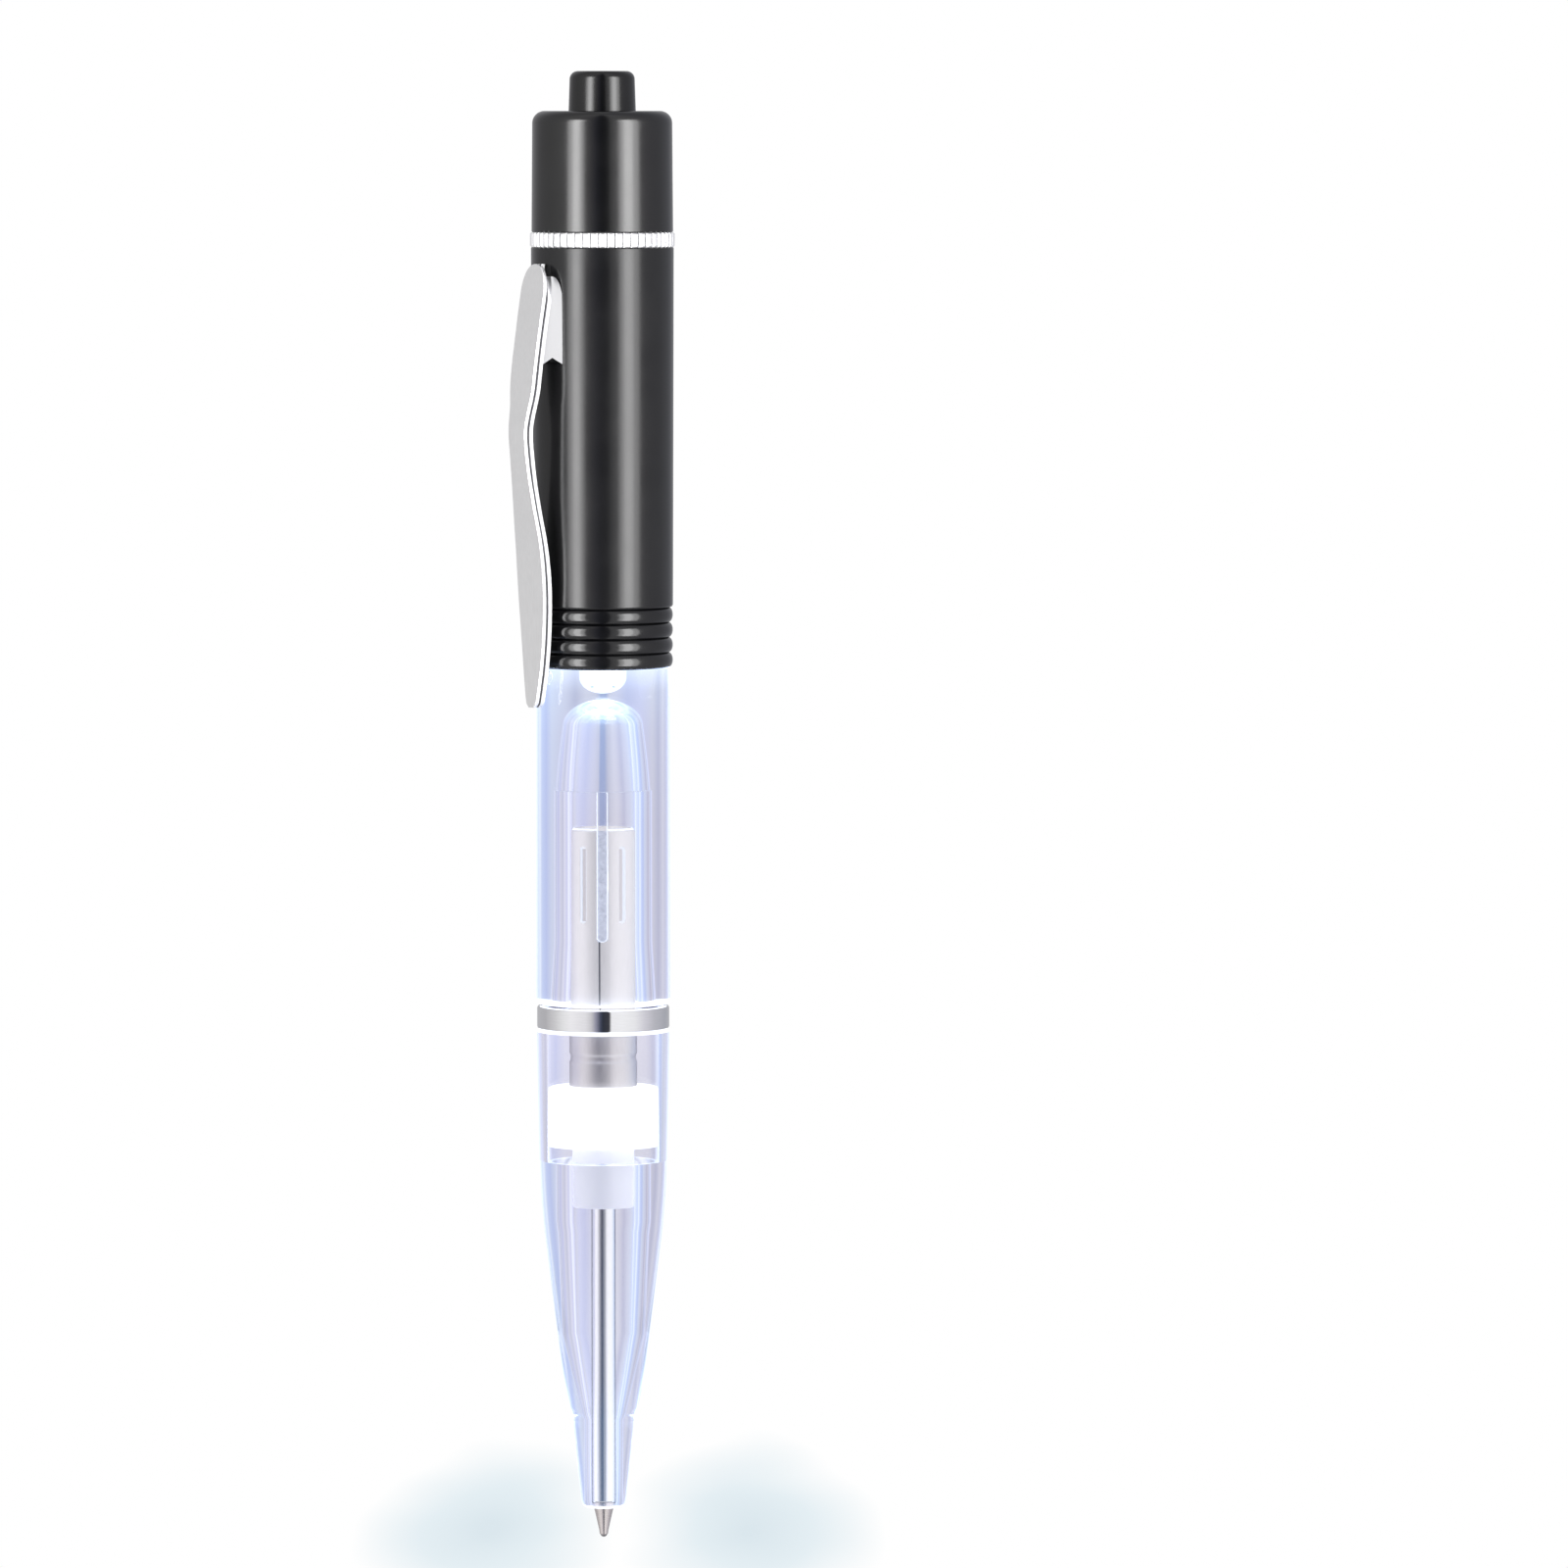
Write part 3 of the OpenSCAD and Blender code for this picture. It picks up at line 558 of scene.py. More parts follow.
def knurled_ring():
    """Chrome ring of straight knurls that run out into a bevel at both edges."""
    r, z0, z1 = span("trim_ring")
    bore_r = span("cell_sleeve")[0]
    teeth = 54
    tooth = 0.22 * MM
    bevel = 0.14 * MM

    def knurl(rr, z, angle):
        """Valleys between the knurls, half as deep at the ring's edges."""
        if rr < bore_r + 0.1 * MM:
            return rr
        share = angle * teeth / (2 * pi)
        valley = 2 * abs(share - round(share))
        depth = min(1, min(z - z0, z1 - z) / bevel)
        return rr - tooth * valley ** 3 * (0.5 + 0.5 * depth)

    outline = [
        (bore_r, z0), (r - bevel, z0), (r, z0 + bevel), (r, z1 - bevel), (r - bevel, z1), (bore_r, z1)]
    ring = lathe("knurled_ring", outline, closed=True, relief=knurl, segments=teeth * 12)
    ring.data.materials.append(knurl_chrome)
    pitch = 2 * pi / teeth
    # The knurls' valleys take shaded_metal: painted shade in the recesses
    light_up(ring, shaded_metal, lambda rr, z, a: rr > bore_r and abs(a / pitch - round(a / pitch)) > 0.4)
    return ring


place(head_shell(), "head", "black_lacquer", black_head, "head_cap")
place(button_cap(), "button", "black_button", black_button, "push_button")
place(knurled_ring(), "trim", "chrome_trim", knurl_chrome, "trim_ring")


# ---- Black barrel and beaded collar ----

# Bore through the collar and the barrel's foot
FOOT_BORE_R = 5.6 * MM


def black_barrel():
    """Straight tube, a little narrower at its foot, with a shoulder in its bore."""
    r, z0, z1 = span("barrel_tube")
    low_r = r - 0.1 * MM
    edge = 0.3 * MM
    top_edge = 0.15 * MM
    bore_r = 6.1 * MM
    z_shoulder = z0 + 4.1 * MM
    outline = (
        [(FOOT_BORE_R, z0)]
        + round_edge(low_r - edge, z0 + edge, edge, -90, 0)
        + round_edge(r - top_edge, z1 - top_edge, top_edge, 0, 90, 4)
        + [(bore_r, z1), (bore_r, z_shoulder), (FOOT_BORE_R, z_shoulder)]
    )
    return lathe("black_barrel", outline, closed=True)


def beaded_collar():
    """Four glossy beads, one above the other."""
    r, z0, z1 = span("ribbed_collar")
    beads = 4
    pitch = (z1 - z0) / beads
    bulge = 0.44 * MM
    steps = 16
    outline = [(FOOT_BORE_R, z0)]
    for i in range(beads):
        middle = z0 + (i + 0.5) * pitch
        for k in range(steps + 1):
            a = radians(-90 + 180 * k / steps)
            outline.append((r - bulge + bulge * cos(a), middle + pitch / 2 * sin(a)))
    outline.append((FOOT_BORE_R, z1))
    return lathe("beaded_collar", outline, closed=True)


place(black_barrel(), "barrel", "black_lacquer", black_lacquer, "barrel_tube")
place(beaded_collar(), "barrel", "black_lacquer", black_gloss, "ribbed_collar")


# ---- Clear barrels ----

Z_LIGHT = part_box("light_barrel")[0].z
Z_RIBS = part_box("ribbed_collar")[0].z
Z_SLEEVE, Z_SLEEVE_TOP = (corner.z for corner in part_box("mechanism_sleeve"))
Z_NOSE, Z_LOWER_TOP = (corner.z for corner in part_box("lower_barrel"))
Z_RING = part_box("centre_ring")[0].z
Z_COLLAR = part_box("twist_collar")[0].z
Z_LAMP, Z_LAMP_TOP = (corner.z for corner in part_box("uv_lamp"))
Z_KEY = Z_SLEEVE + 14.45 * MM
Z_KEY_TOP = Z_SLEEVE + 29.15 * MM
BORE_R = 3.22 * MM
KEY_R = BORE_R - 0.27 * MM
LEDGE = 0.05 * MM
# Bore of the white collar, and of the lower barrel where it starts below it
COLLAR_BORE_R = 3.12 * MM


def in_key(z, angle):
    """Is this point of the bore inside the key, whose lower end is round?"""
    across = abs(from_key(angle)) * BORE_R
    half = KEY_WIDTH / 2
    if across > half:
        return False
    return Z_KEY + half - sqrt(half ** 2 - across ** 2) <= z <= Z_KEY_TOP


def upper_acrylic():
    """Thick clear barrel: a blind bore with a domed end, a key in the bore and a lamp seat."""
    top_r = span("light_barrel")[0]
    z_spigot = span("light_barrel")[2]
    r = top_r - 0.04 * MM
    z_shoulder = Z_RIBS - 0.02 * MM
    spigot_r = 5.55 * MM
    mouth_r = 3.45 * MM
    dome_r = 2.65 * MM
    z_dome = Z_RIBS - 5.85 * MM
    dome_h = 2.8 * MM
    ledge_r = BORE_R - 0.12 * MM
    lamp_r = 1.55 * MM
    z_lamp = Z_LAMP - 0.05 * MM
    flange_r = 1.95 * MM
    z_flange = Z_LAMP_TOP - 1.05 * MM
    z_straight = Z_LIGHT + 28.3 * MM
    edge = 0.3 * MM

    def key(rr, z, angle):
        """The key stands in from the bore's wall."""
        return KEY_R if abs(rr - BORE_R) < 0.02 * MM and in_key(z, angle) else rr

    dome = [(dome_r * cos(radians(a)), z_dome + dome_h * sin(radians(a))) for a in range(90, -1, -6)]
    lamp_seat = [
        (lamp_r * sin(radians(a)), z_lamp + lamp_r - lamp_r * cos(radians(a)))
        for a in range(90, -1, -6)]
    outline = (
        [(0, z_dome + dome_h)] + dome[1:]
        + bend((dome_r, z_dome), (ledge_r - 0.15 * MM, z_dome - 3 * MM), (ledge_r, Z_KEY_TOP + LEDGE))
        + [(ledge_r + 0.01 * MM, Z_KEY_TOP + 0.01 * MM), (BORE_R, Z_KEY_TOP + 0.005 * MM)]
        + run((BORE_R, Z_KEY_TOP), (BORE_R, Z_KEY + 0.6 * MM), 30)
        + run((BORE_R, Z_KEY + 0.58 * MM), (BORE_R, Z_KEY - 0.04 * MM), 16)
        + run((BORE_R, Z_KEY - 0.05 * MM), (mouth_r, Z_LIGHT + 1.0 * MM), 24)[1:]
        + [(mouth_r, Z_LIGHT)]
        + round_edge(r - edge, Z_LIGHT + edge, edge, -90, 0)
        + [(r, z_straight), (top_r, z_shoulder), (spigot_r, z_shoulder)]
        + [(spigot_r, z_spigot), (flange_r, z_spigot), (flange_r, z_flange), (lamp_r, z_flange)]
        + lamp_seat[:-1] + [(0, z_lamp)]
    )
    return lathe("upper_acrylic", outline, relief=key, segments=FINE_SEGMENTS)


def lower_acrylic():
    """Tapered clear barrel with a narrow nose, a step above it and a wide counterbore."""
    z_shoulder = Z_RING - 0.03 * MM
    shoulder_r = span("lower_barrel")[0]
    spigot_r = 6.06 * MM
    counter_r = 5.49 * MM
    guide_r = 1.275 * MM
    mouth_r = guide_r + 0.15 * MM
    edge = 0.2 * MM
    z_counter = Z_COLLAR - 1.5 * MM

    def up(r, dz):
        """Point dz mm above the nose, r mm from the axis."""
        return (r * MM, Z_NOSE + dz * MM)

    outline = (
        [up(1.5, 0)]
        + bend(up(1.7, 0), up(2.18, 0.05), up(2.25, 1.1))
        + bend(up(3.12, 8.6), up(3.22, 9.3), up(3.62, 10.0))
        + bend(up(5.72, 26.6), up(6.23, 30.6), up(6.32, 34.4), 12)
        + [(shoulder_r, z_shoulder - edge), (shoulder_r - edge, z_shoulder), (spigot_r, z_shoulder)]
        + [(spigot_r, Z_LOWER_TOP), (counter_r, Z_LOWER_TOP), (counter_r, z_counter)]
        + [(COLLAR_BORE_R, z_counter), (COLLAR_BORE_R, Z_NOSE + 28.6 * MM)]
        + run(up(3.0, 27.5), up(2.73, 17.6), 24) + run(up(2.72, 17.5), up(1.3, 9.07), 30)
        + [(guide_r, Z_NOSE + 9.0 * MM), (guide_r, Z_NOSE + 0.5 * MM)]
        + [(mouth_r, Z_NOSE + 0.15 * MM), (mouth_r, Z_NOSE)]
    )
    return lathe("lower_acrylic", outline, closed=True, segments=FINE_SEGMENTS)


# Painted glow of each barrel along its height, from 0 at its lowest point to 1 at its highest
UPPER_GLOW = [
    (0.00, (0.05, 0.055, 0.065)), (0.03, (0.006, 0.007, 0.012)), (0.55, (0.004, 0.005, 0.012)),
    (0.80, (0.01, 0.02, 0.04)), (0.93, (0.03, 0.055, 0.08)), (1.00, (0.15, 0.2, 0.25)),
]
LOWER_GLOW = [
    (0.00, (0.012, 0.024, 0.045)), (0.18, (0.010, 0.022, 0.042)), (0.26, (0.006, 0.012, 0.024)),
    (0.60, (0.003, 0.004, 0.01)), (0.78, (0.004, 0.005, 0.008)), (1.00, (0.02, 0.02, 0.03)),
]
# Radius between the bore and the outer surface, at each barrel's lowest and highest point
UPPER_PARTING = (5 * MM, 5 * MM)
LOWER_PARTING = (1.9 * MM, 6.4 * MM)
upper_clear = acrylic("clear_acrylic_upper", Z_LIGHT, Z_RIBS, UPPER_GLOW, UPPER_PARTING)
lower_clear = acrylic("clear_acrylic_lower", Z_NOSE, Z_LOWER_TOP, LOWER_GLOW, LOWER_PARTING)
upper = place(upper_acrylic(), "barrel", "clear_acrylic", upper_clear, "light_barrel")
lower = place(lower_acrylic(), "nose", "clear_acrylic", lower_clear, "lower_barrel")


def on_key(r, z, angle, inner, outer):
    """Is this point of the bore on the key, between two distances in from the key's outline?"""
    if r > KEY_R + 0.2 * MM or not Z_KEY - 0.1 * MM < z < Z_KEY_TOP:
        return False
    across = abs(from_key(angle)) * BORE_R
    below = max(Z_KEY + KEY_WIDTH / 2 - z, 0)
    inwards = KEY_WIDTH / 2 - sqrt(across ** 2 + below ** 2)
    return inner <= inwards <= outer


# Painted light on the barrels: glowing rims, and the key's ledge, outline and face, for the lamp's light
# in the acrylic
KEY_LINE = 0.06 * MM
LIT_RIM = 0.3 * MM
light_up(upper, lit_edge, lambda r, z, a: z < Z_LIGHT + LIT_RIM and r > 4 * MM)
light_up(upper, lit_key, lambda r, z, a: Z_KEY_TOP < z < Z_KEY_TOP + LEDGE and r < BORE_R)
light_up(upper, lit_line, lambda r, z, a: on_key(r, z, a, -0.1 * MM, KEY_LINE))
light_up(upper, lit_key, lambda r, z, a: z < Z_SLEEVE_TOP and on_key(r, z, a, KEY_LINE, KEY_WIDTH))
light_up(lower, lit_edge, lambda r, z, a: z > Z_RING - LIT_RIM and r > 6.2 * MM)
light_up(lower, lit_edge, lambda r, z, a: z < Z_NOSE + LIT_RIM)


# ---- What shows inside the clear barrels ----

SLEEVE_R = 3.16 * MM
SLEEVE_BORE_R = 2.9 * MM
Z_NECK = Z_SLEEVE + 5.35 * MM
Z_FLUTE = Z_SLEEVE + 16.6 * MM
Z_FLUTE_TOP = Z_FLUTE + 6.9 * MM
FLUTE_DEPTH = 0.16 * MM
# Dark line of the sleeve's seam, beside the key's middle
SEAM_ASIDE = -0.27 * MM
SEAM_HALF = 0.07 * MM


def flutes(r, z, angle):
    """Four pressed flutes with round ends, 30 degrees either side of the key and of the back."""
    if abs(r - SLEEVE_R) > TINY:
        return r
    flute_half = 0.26 * MM
    flank = 0.06 * MM
    flute_angle = radians(30)
    side = abs(abs(abs(from_key(angle)) - pi / 2) - (pi / 2 - flute_angle))
    along = max(Z_FLUTE - z, 0, z - Z_FLUTE_TOP)
    away = sqrt((side * r) ** 2 + along ** 2)
    return r - FLUTE_DEPTH * min(1, max(0, (flute_half - away) / flank))


def nickel_sleeve():
    """Sleeve of the twist action: swaged foot, domed shoulder, pressed flutes and a key slot."""
    foot_r = span("mechanism_sleeve")[0]
    lip_r = 2.2 * MM
    z_lip = Z_SLEEVE_TOP - 0.3 * MM
    groove = 0.14 * MM
    z_groove = Z_SLEEVE + 2.85 * MM
    edge = 0.45 * MM
    outline = (
        [(foot_r - 0.1 * MM, Z_SLEEVE), (foot_r, Z_SLEEVE + 0.1 * MM)]
        + bend((foot_r, z_groove - 0.45 * MM), (foot_r - groove, z_groove - 0.2 * MM),
               (foot_r - groove, z_groove))
        + bend((foot_r - groove, z_groove), (foot_r - groove, z_groove + 0.2 * MM),
               (foot_r, z_groove + 0.45 * MM))
        + bend((foot_r, Z_NECK - 0.5 * MM), (foot_r, Z_NECK - 0.1 * MM), (SLEEVE_R, Z_NECK))
        + run((SLEEVE_R, Z_NECK + 0.2 * MM), (SLEEVE_R, Z_FLUTE - 0.6 * MM), 6)
        + run((SLEEVE_R, Z_FLUTE - 0.5 * MM), (SLEEVE_R, Z_FLUTE_TOP + 0.5 * MM), 60)
        + round_edge(SLEEVE_R - edge, Z_SLEEVE_TOP - edge, edge, 0, 90, 8)
        + [(lip_r, Z_SLEEVE_TOP), (lip_r, z_lip), (SLEEVE_BORE_R, z_lip), (SLEEVE_BORE_R, Z_SLEEVE)]
    )
    sleeve = lathe("nickel_sleeve", outline, closed=True, relief=flutes, segments=SLEEVE_SEGMENTS)
    sleeve.data.materials.append(nickel)
    cut(sleeve, slot_cutter(KEY_WIDTH + 0.1 * MM, Z_KEY, Z_SLEEVE_TOP + 1 * MM, 2.0 * MM, 4.0 * MM))
    finish_sleeve(sleeve)
    return sleeve


def finish_sleeve(sleeve):
    """Painted light: brighter, faintly glowing metal by the lamp, painted highlights on the flutes'
    flanks and a painted glowing rim; and the seam's dark line.
    """
    def by_flutes(z):
        return Z_FLUTE - 0.4 * MM < z < Z_FLUTE_TOP + 0.4 * MM

    floor_r = SLEEVE_R - 0.9 * FLUTE_DEPTH
    flank_r = SLEEVE_R - 0.15 * FLUTE_DEPTH
    rim = 0.14 * MM
    light_up(sleeve, lit_nickel, lambda r, z, a: z > Z_NECK - 0.2 * MM)
    light_up(sleeve, lit_edge, lambda r, z, a: z > Z_SLEEVE_TOP - rim and r > SLEEVE_BORE_R - 0.1 * MM)
    light_up(sleeve, lit_line, lambda r, z, a: by_flutes(z) and floor_r < r < flank_r)
    light_up(sleeve, nickel, lambda r, z, a: by_flutes(z) and SLEEVE_BORE_R + 0.02 * MM < r <= floor_r)
    light_up(sleeve, shaded_metal, lambda r, z, a: (
        Z_NECK < z < Z_KEY and r > SLEEVE_BORE_R + 0.1 * MM
        and abs(from_key(a) * SLEEVE_R - SEAM_ASIDE) < SEAM_HALF))


def slot_cutter(width, z0, z1, near, far):
    """Bar with a round lower end that reaches from near to far along the key's direction."""
    out = Vector((cos(KEY_ANGLE), sin(KEY_ANGLE), 0))
    side = Vector((-sin(KEY_ANGLE), cos(KEY_ANGLE), 0))
    half = width / 2
    around = [(half * cos(radians(a)), z0 + half + half * sin(radians(a))) for a in range(180, 361, 12)]
    around += [(half, z1), (-half, z1)]
    return loft("slot_cutter", [
        [out * reach + side * y + Vector((0, 0, z)) for y, z in around] for reach in (near, far)])


def collar_piece():
    """White collar that turns with the lower barrel, with its slender stem in the sleeve."""
    r, z0, z_stem = span("twist_collar")
    z1 = Z_SLEEVE - 0.05 * MM
    z_step = z1 + 0.7 * MM
    stem_r = 2.4 * MM
    hole_r = 1.92 * MM
    edge = 0.25 * MM
    outline = (
        [(COLLAR_BORE_R, z0)]
        + round_edge(r - edge, z0 + edge, edge, -90, 0)
        + round_edge(r - edge, z1 - edge, edge, 0, 90)
        + [(stem_r, z1), (stem_r, z_stem), (hole_r, z_stem), (hole_r, z_step)]
        + [(COLLAR_BORE_R, z_step)]
    )
    return lathe("white_collar", outline, closed=True)


def holder_piece():
    """Milky holder that grips the refill, with a slender tail up the sleeve."""
    r, z0, z_end = span("refill_carrier")
    z_wide = Z_COLLAR + 0.05 * MM
    bore_r = 1.185 * MM
    tail_r = 1.85 * MM
    edge = 0.35 * MM
    bevel = 0.3 * MM
    outline = (
        [(bore_r, z0)]
        + round_edge(r - edge, z0 + edge, edge, -90, 0)
        + [(r, z_wide), (tail_r, z_wide), (tail_r, z_end - bevel), (tail_r - bevel, z_end)]
        + [(bore_r, z_end)]
    )
    return lathe("refill_holder", outline, closed=True)


def steel_tube():
    """Thin tube of the refill, bevelled at both ends."""
    r, z0, z1 = span("refill_tube")
    wall = 0.2 * MM
    edge = 0.06 * MM
    outline = (
        [(r - wall, z0), (r - edge, z0), (r, z0 + edge), (r, z1 - edge), (r - edge, z1), (r - wall, z1)])
    return lathe("steel_tube", outline, closed=True)


def point_piece():
    """Point: a long cone, a short steep one that holds the ball, and a shank in the tube."""
    r, z0, z1 = span("refill_point")
    shank_r = 0.965 * MM
    seat_r = 0.365 * MM
    z_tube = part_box("refill_tube")[0].z
    ball_z = 0.35 * MM
    seat = [(seat_r * sin(radians(a)), ball_z - seat_r * cos(radians(a))) for a in range(100, 181, 8)]
    outline = (
        seat[::-1]
        + [(0.38 * MM, z0), (0.42 * MM, z0 + 0.05 * MM), (0.45 * MM, z0 + 0.37 * MM)]
        + [(0.9 * MM, z_tube - 1.05 * MM), (0.95 * MM, z_tube - 0.95 * MM)]
        + [(r - 0.05 * MM, z_tube - 0.06 * MM), (r - 0.1 * MM, z_tube - 0.01 * MM)]
        + [(shank_r, z_tube - 0.01 * MM), (shank_r, z1), (0, z1)]
    )
    return lathe("refill_tip", outline)


def chrome_ring():
    """Plain ring with round edges, between the two clear barrels."""
    r, z0, z1 = span("centre_ring")
    edge = 0.3 * MM
    bore_r = 6.12 * MM
    outline = (
        [(bore_r, z0)]
        + round_edge(r - edge, z0 + edge, edge, -90, 0)
        + round_edge(r - edge, z1 - edge, edge, 0, 90)
        + [(bore_r, z1)]
    )
    return lathe("chrome_ring", outline, closed=True, segments=FINE_SEGMENTS)


def lamp_dome():
    """Lit lamp: a half-round lens, a straight body and a flange."""
    flange_r, z0, z1 = span("uv_lamp")
    r = 1.5 * MM
    flange_t = 0.95 * MM
    lens = [(r * sin(radians(a)), z0 + r - r * cos(radians(a))) for a in range(0, 91, 3)]
    outline = lens + [
        (r, z1 - flange_t), (flange_r, z1 - flange_t), (flange_r, z1 - 0.1 * MM),
        (flange_r - 0.1 * MM, z1), (0, z1)]
    return lathe("lamp_dome", outline)


place(nickel_sleeve(), "barrel", "bright_nickel", nickel, "mechanism_sleeve")
place(collar_piece(), "twist", "white_collar", white_collar, "twist_collar")
place(holder_piece(), "refill", "milky_plastic", milky, "refill_carrier")
place(steel_tube(), "refill", "refill_steel", refill_steel, "refill_tube")
place(point_piece(), "refill", "nickel_silver", nickel_silver, "refill_point")
place(chrome_ring(), "ring", "chrome_trim", chrome, "centre_ring")
place(lamp_dome(), "barrel", "lamp_epoxy", lit_epoxy, "uv_lamp")


# ---- Pocket clip ----

Z_BEND, CLIP_TOP = (corner.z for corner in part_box("clip_foot"))
CLIP_LENGTH = (CLIP_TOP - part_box("clip_arm")[0].z) / MM
CLIP_THICK = 1.1
# Distance down from the clip's upper end, and of its outer face from the axis, in mm
CLIP_STANDOFF = [
    (0, 8.2), (3, 8.6), (6, 9.1), (10, 9.7), (13.5, 10.1), (16.2, 10.5), (19.5, 10.25), (23, 9.8),
    (28, 9.1), (33, 8.75), (38, 8.65), (CLIP_LENGTH, 8.8),
]
# The same distance, and half the clip's width there
CLIP_HALF_WIDTH = [
    (0, 0.25), (0.12, 0.62), (0.4, 1.05), (0.9, 1.45), (1.6, 1.74), (2.6, 1.92), (7, 1.9),
    (12, 1.84), (14.3, 1.5), (16.5, 1.34), (20, 1.38), (23, 1.6), (27, 2.0), (31, 2.12),
    (35, 1.92), (39, 1.5), (41.8, 1.05), (42.9, 0.8), (CLIP_LENGTH, 0.45),
]


def clip_section(s):
    """Section of the clip s mm from its upper end: a bevelled plate over a second layer."""
    bevel = 0.05
    plate = 0.34
    layer = plate + 0.2
    inset = 0.3
    lag = 1.1
    low_bevel = 0.12
    half = smooth(CLIP_HALF_WIDTH, s)
    under = min(half, smooth(CLIP_HALF_WIDTH, max(s - lag, 0)))
    right = [
        (half - bevel, 0.0), (half - 0.3 * bevel, 0.4 * bevel), (half, bevel), (half, plate - bevel),
        (half - bevel, plate), (under - inset, plate + 0.01), (under - inset, layer),
        (under - 0.6 * bevel, layer + 0.01), (under, layer + bevel),
        (under, CLIP_THICK - low_bevel), (under - low_bevel, CLIP_THICK),
    ]
    left = [(-y, depth) for y, depth in reversed(right)]
    face = smooth(CLIP_STANDOFF, s)
    return [
        Vector((-(face - depth) * MM, y * MM, CLIP_TOP - s * MM)) for y, depth in right + left]


def clip_strip():
    """The whole strip: polished edges, satin face and underside, painted shade between its layers."""
    ends = [0, 0.03, 0.07, 0.12, 0.18, 0.25, 0.33, 0.42, 0.52, 0.63, 0.75, 0.88]
    steps = int((CLIP_LENGTH - 2) / 0.2)
    stations = ends + [1 + (CLIP_LENGTH - 2) * k / steps for k in range(steps + 1)]
    stations += [CLIP_LENGTH - s for s in reversed(ends)]
    sections = [clip_section(s) for s in stations]
    strip = loft("clip_strip", sections, sharp=radians(20))
    for material in (polished, satin, shaded_metal):
        strip.data.materials.append(material)
    count = len(sections[0])
    face_and_underside = (count - 1, count // 2 - 1)
    # faces between the plate and the second layer take shaded_metal: painted shade
    between_layers = (4, 5, 6, count - 8, count - 7, count - 6)
    for face in strip.data.polygons[:count * (len(sections) - 1)]:
        k = face.index % count
        if k in face_and_underside:
            face.material_index = 1
        elif k in between_layers:
            face.material_index = 2
    return strip


def clip_web():
    """Folded web between strip and barrel, with a flared upper edge and a notched lower one, and painted
    shade: its downward faces are black.
    """
    z_near, z_far = CLIP_TOP - 1.2 * MM, CLIP_TOP - 3.8 * MM
    barrel_r = span("barrel_tube")[0]
    notch = 0.7 * MM
    rows, steps = 24, 20
    sections = []
    for i in range(steps + 1):
        u = i / steps
        top = z_near + (z_far - z_near) * u ** 3.7
        low = Z_BEND + notch * (1 - abs(2 * u - 1))
        section = []
        for side in (-1, 1):
            heights = [low + (top - low) * k / rows for k in range(rows + 1)]
            for z in heights if side > 0 else reversed(heights):
                s = (CLIP_TOP - z) / MM
                back = (smooth(CLIP_STANDOFF, s) - CLIP_THICK + 0.2) * MM
                half_near = min(smooth(CLIP_HALF_WIDTH, s) - 0.06, 1.86) * MM
                half = half_near + (2.3 * MM - half_near) * u ** 1.5
                reach = sqrt(barrel_r ** 2 - half ** 2) - 0.15 * MM
                section.append(Vector((-(back + (reach - back) * u), side * half, z)))
        sections.append(section)
    web = loft("clip_web", sections)
    web.data.materials.append(polished)
    web.data.materials.append(black_lacquer)
    for face in web.data.polygons:
        # faces that face downwards take black lacquer: painted shade in the web's hollow underside
        face.material_index = int(face.normal.z < -0.3)
    return web


def clip_nib():
    """Round bar across the strip near its tip, which bears on the clear barrel."""
    r = 0.75 * MM
    half = 0.9 * MM
    bevel = 0.15 * MM
    steps = 48
    x = -span("light_barrel")[0] - 0.03 * MM - r
    z = CLIP_TOP - 40.4 * MM
    profile = [(-half, r - bevel), (bevel - half, r), (half - bevel, r), (half, r - bevel)]
    turns = [2 * pi * k / steps for k in range(steps)]
    return loft("clip_nib", [
        [Vector((x + rr * cos(a), y, z + rr * sin(a))) for a in turns] for y, rr in profile])


strip = clip_strip()
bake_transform(strip)
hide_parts("clip_arm")
place(clip_web(), "barrel", "satin_steel", polished, "clip_foot")
place(clip_nib(), "clip", "satin_steel", polished)


# ---- CAD nodes that keep their own shape ----

KEPT = {
    "cam_sleeve": white_plastic, "lamp_leads": tin, "lamp_holder": white_plastic,
    "lamp_board": laminate, "resistor": component, "cell_contact": brass, "cell_sleeve": film,
    "cell_1": cell_can, "cell_2": cell_can, "cell_3": cell_can, "switch_housing": dark_plastic,
    "contact_post": brass, "cell_spring": wire, "button_spring": wire,
    "switch_plunger": white_plastic, "moving_contact": brass, "carrier_pin": wire,
    "test_ink": ink, "refill_plug": white_plastic, "writing_ball": carbide,
}
for node, finish in KEPT.items():
    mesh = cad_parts[node].data
    mesh.materials.clear()
    mesh.materials.append(finish)


def button_coil():
    """The button's spring between the head and the button, copied from its CAD node."""
    coil = bpy.data.objects.new("button_coil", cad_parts["button_spring"].data.copy())
    bpy.context.scene.collection.objects.link(coil)
    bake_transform(coil)
    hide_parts("button_spring")


button_coil()


# ---- Studio ----

def toward(bearing):
    """Level direction from the pen, as an angle to the right of the line to the camera."""
    back = Vector((sin(VIEW_BEARING), -cos(VIEW_BEARING), 0))
    right = Vector((cos(VIEW_BEARING), sin(VIEW_BEARING), 0))
    return back * cos(bearing) + right * sin(bearing)


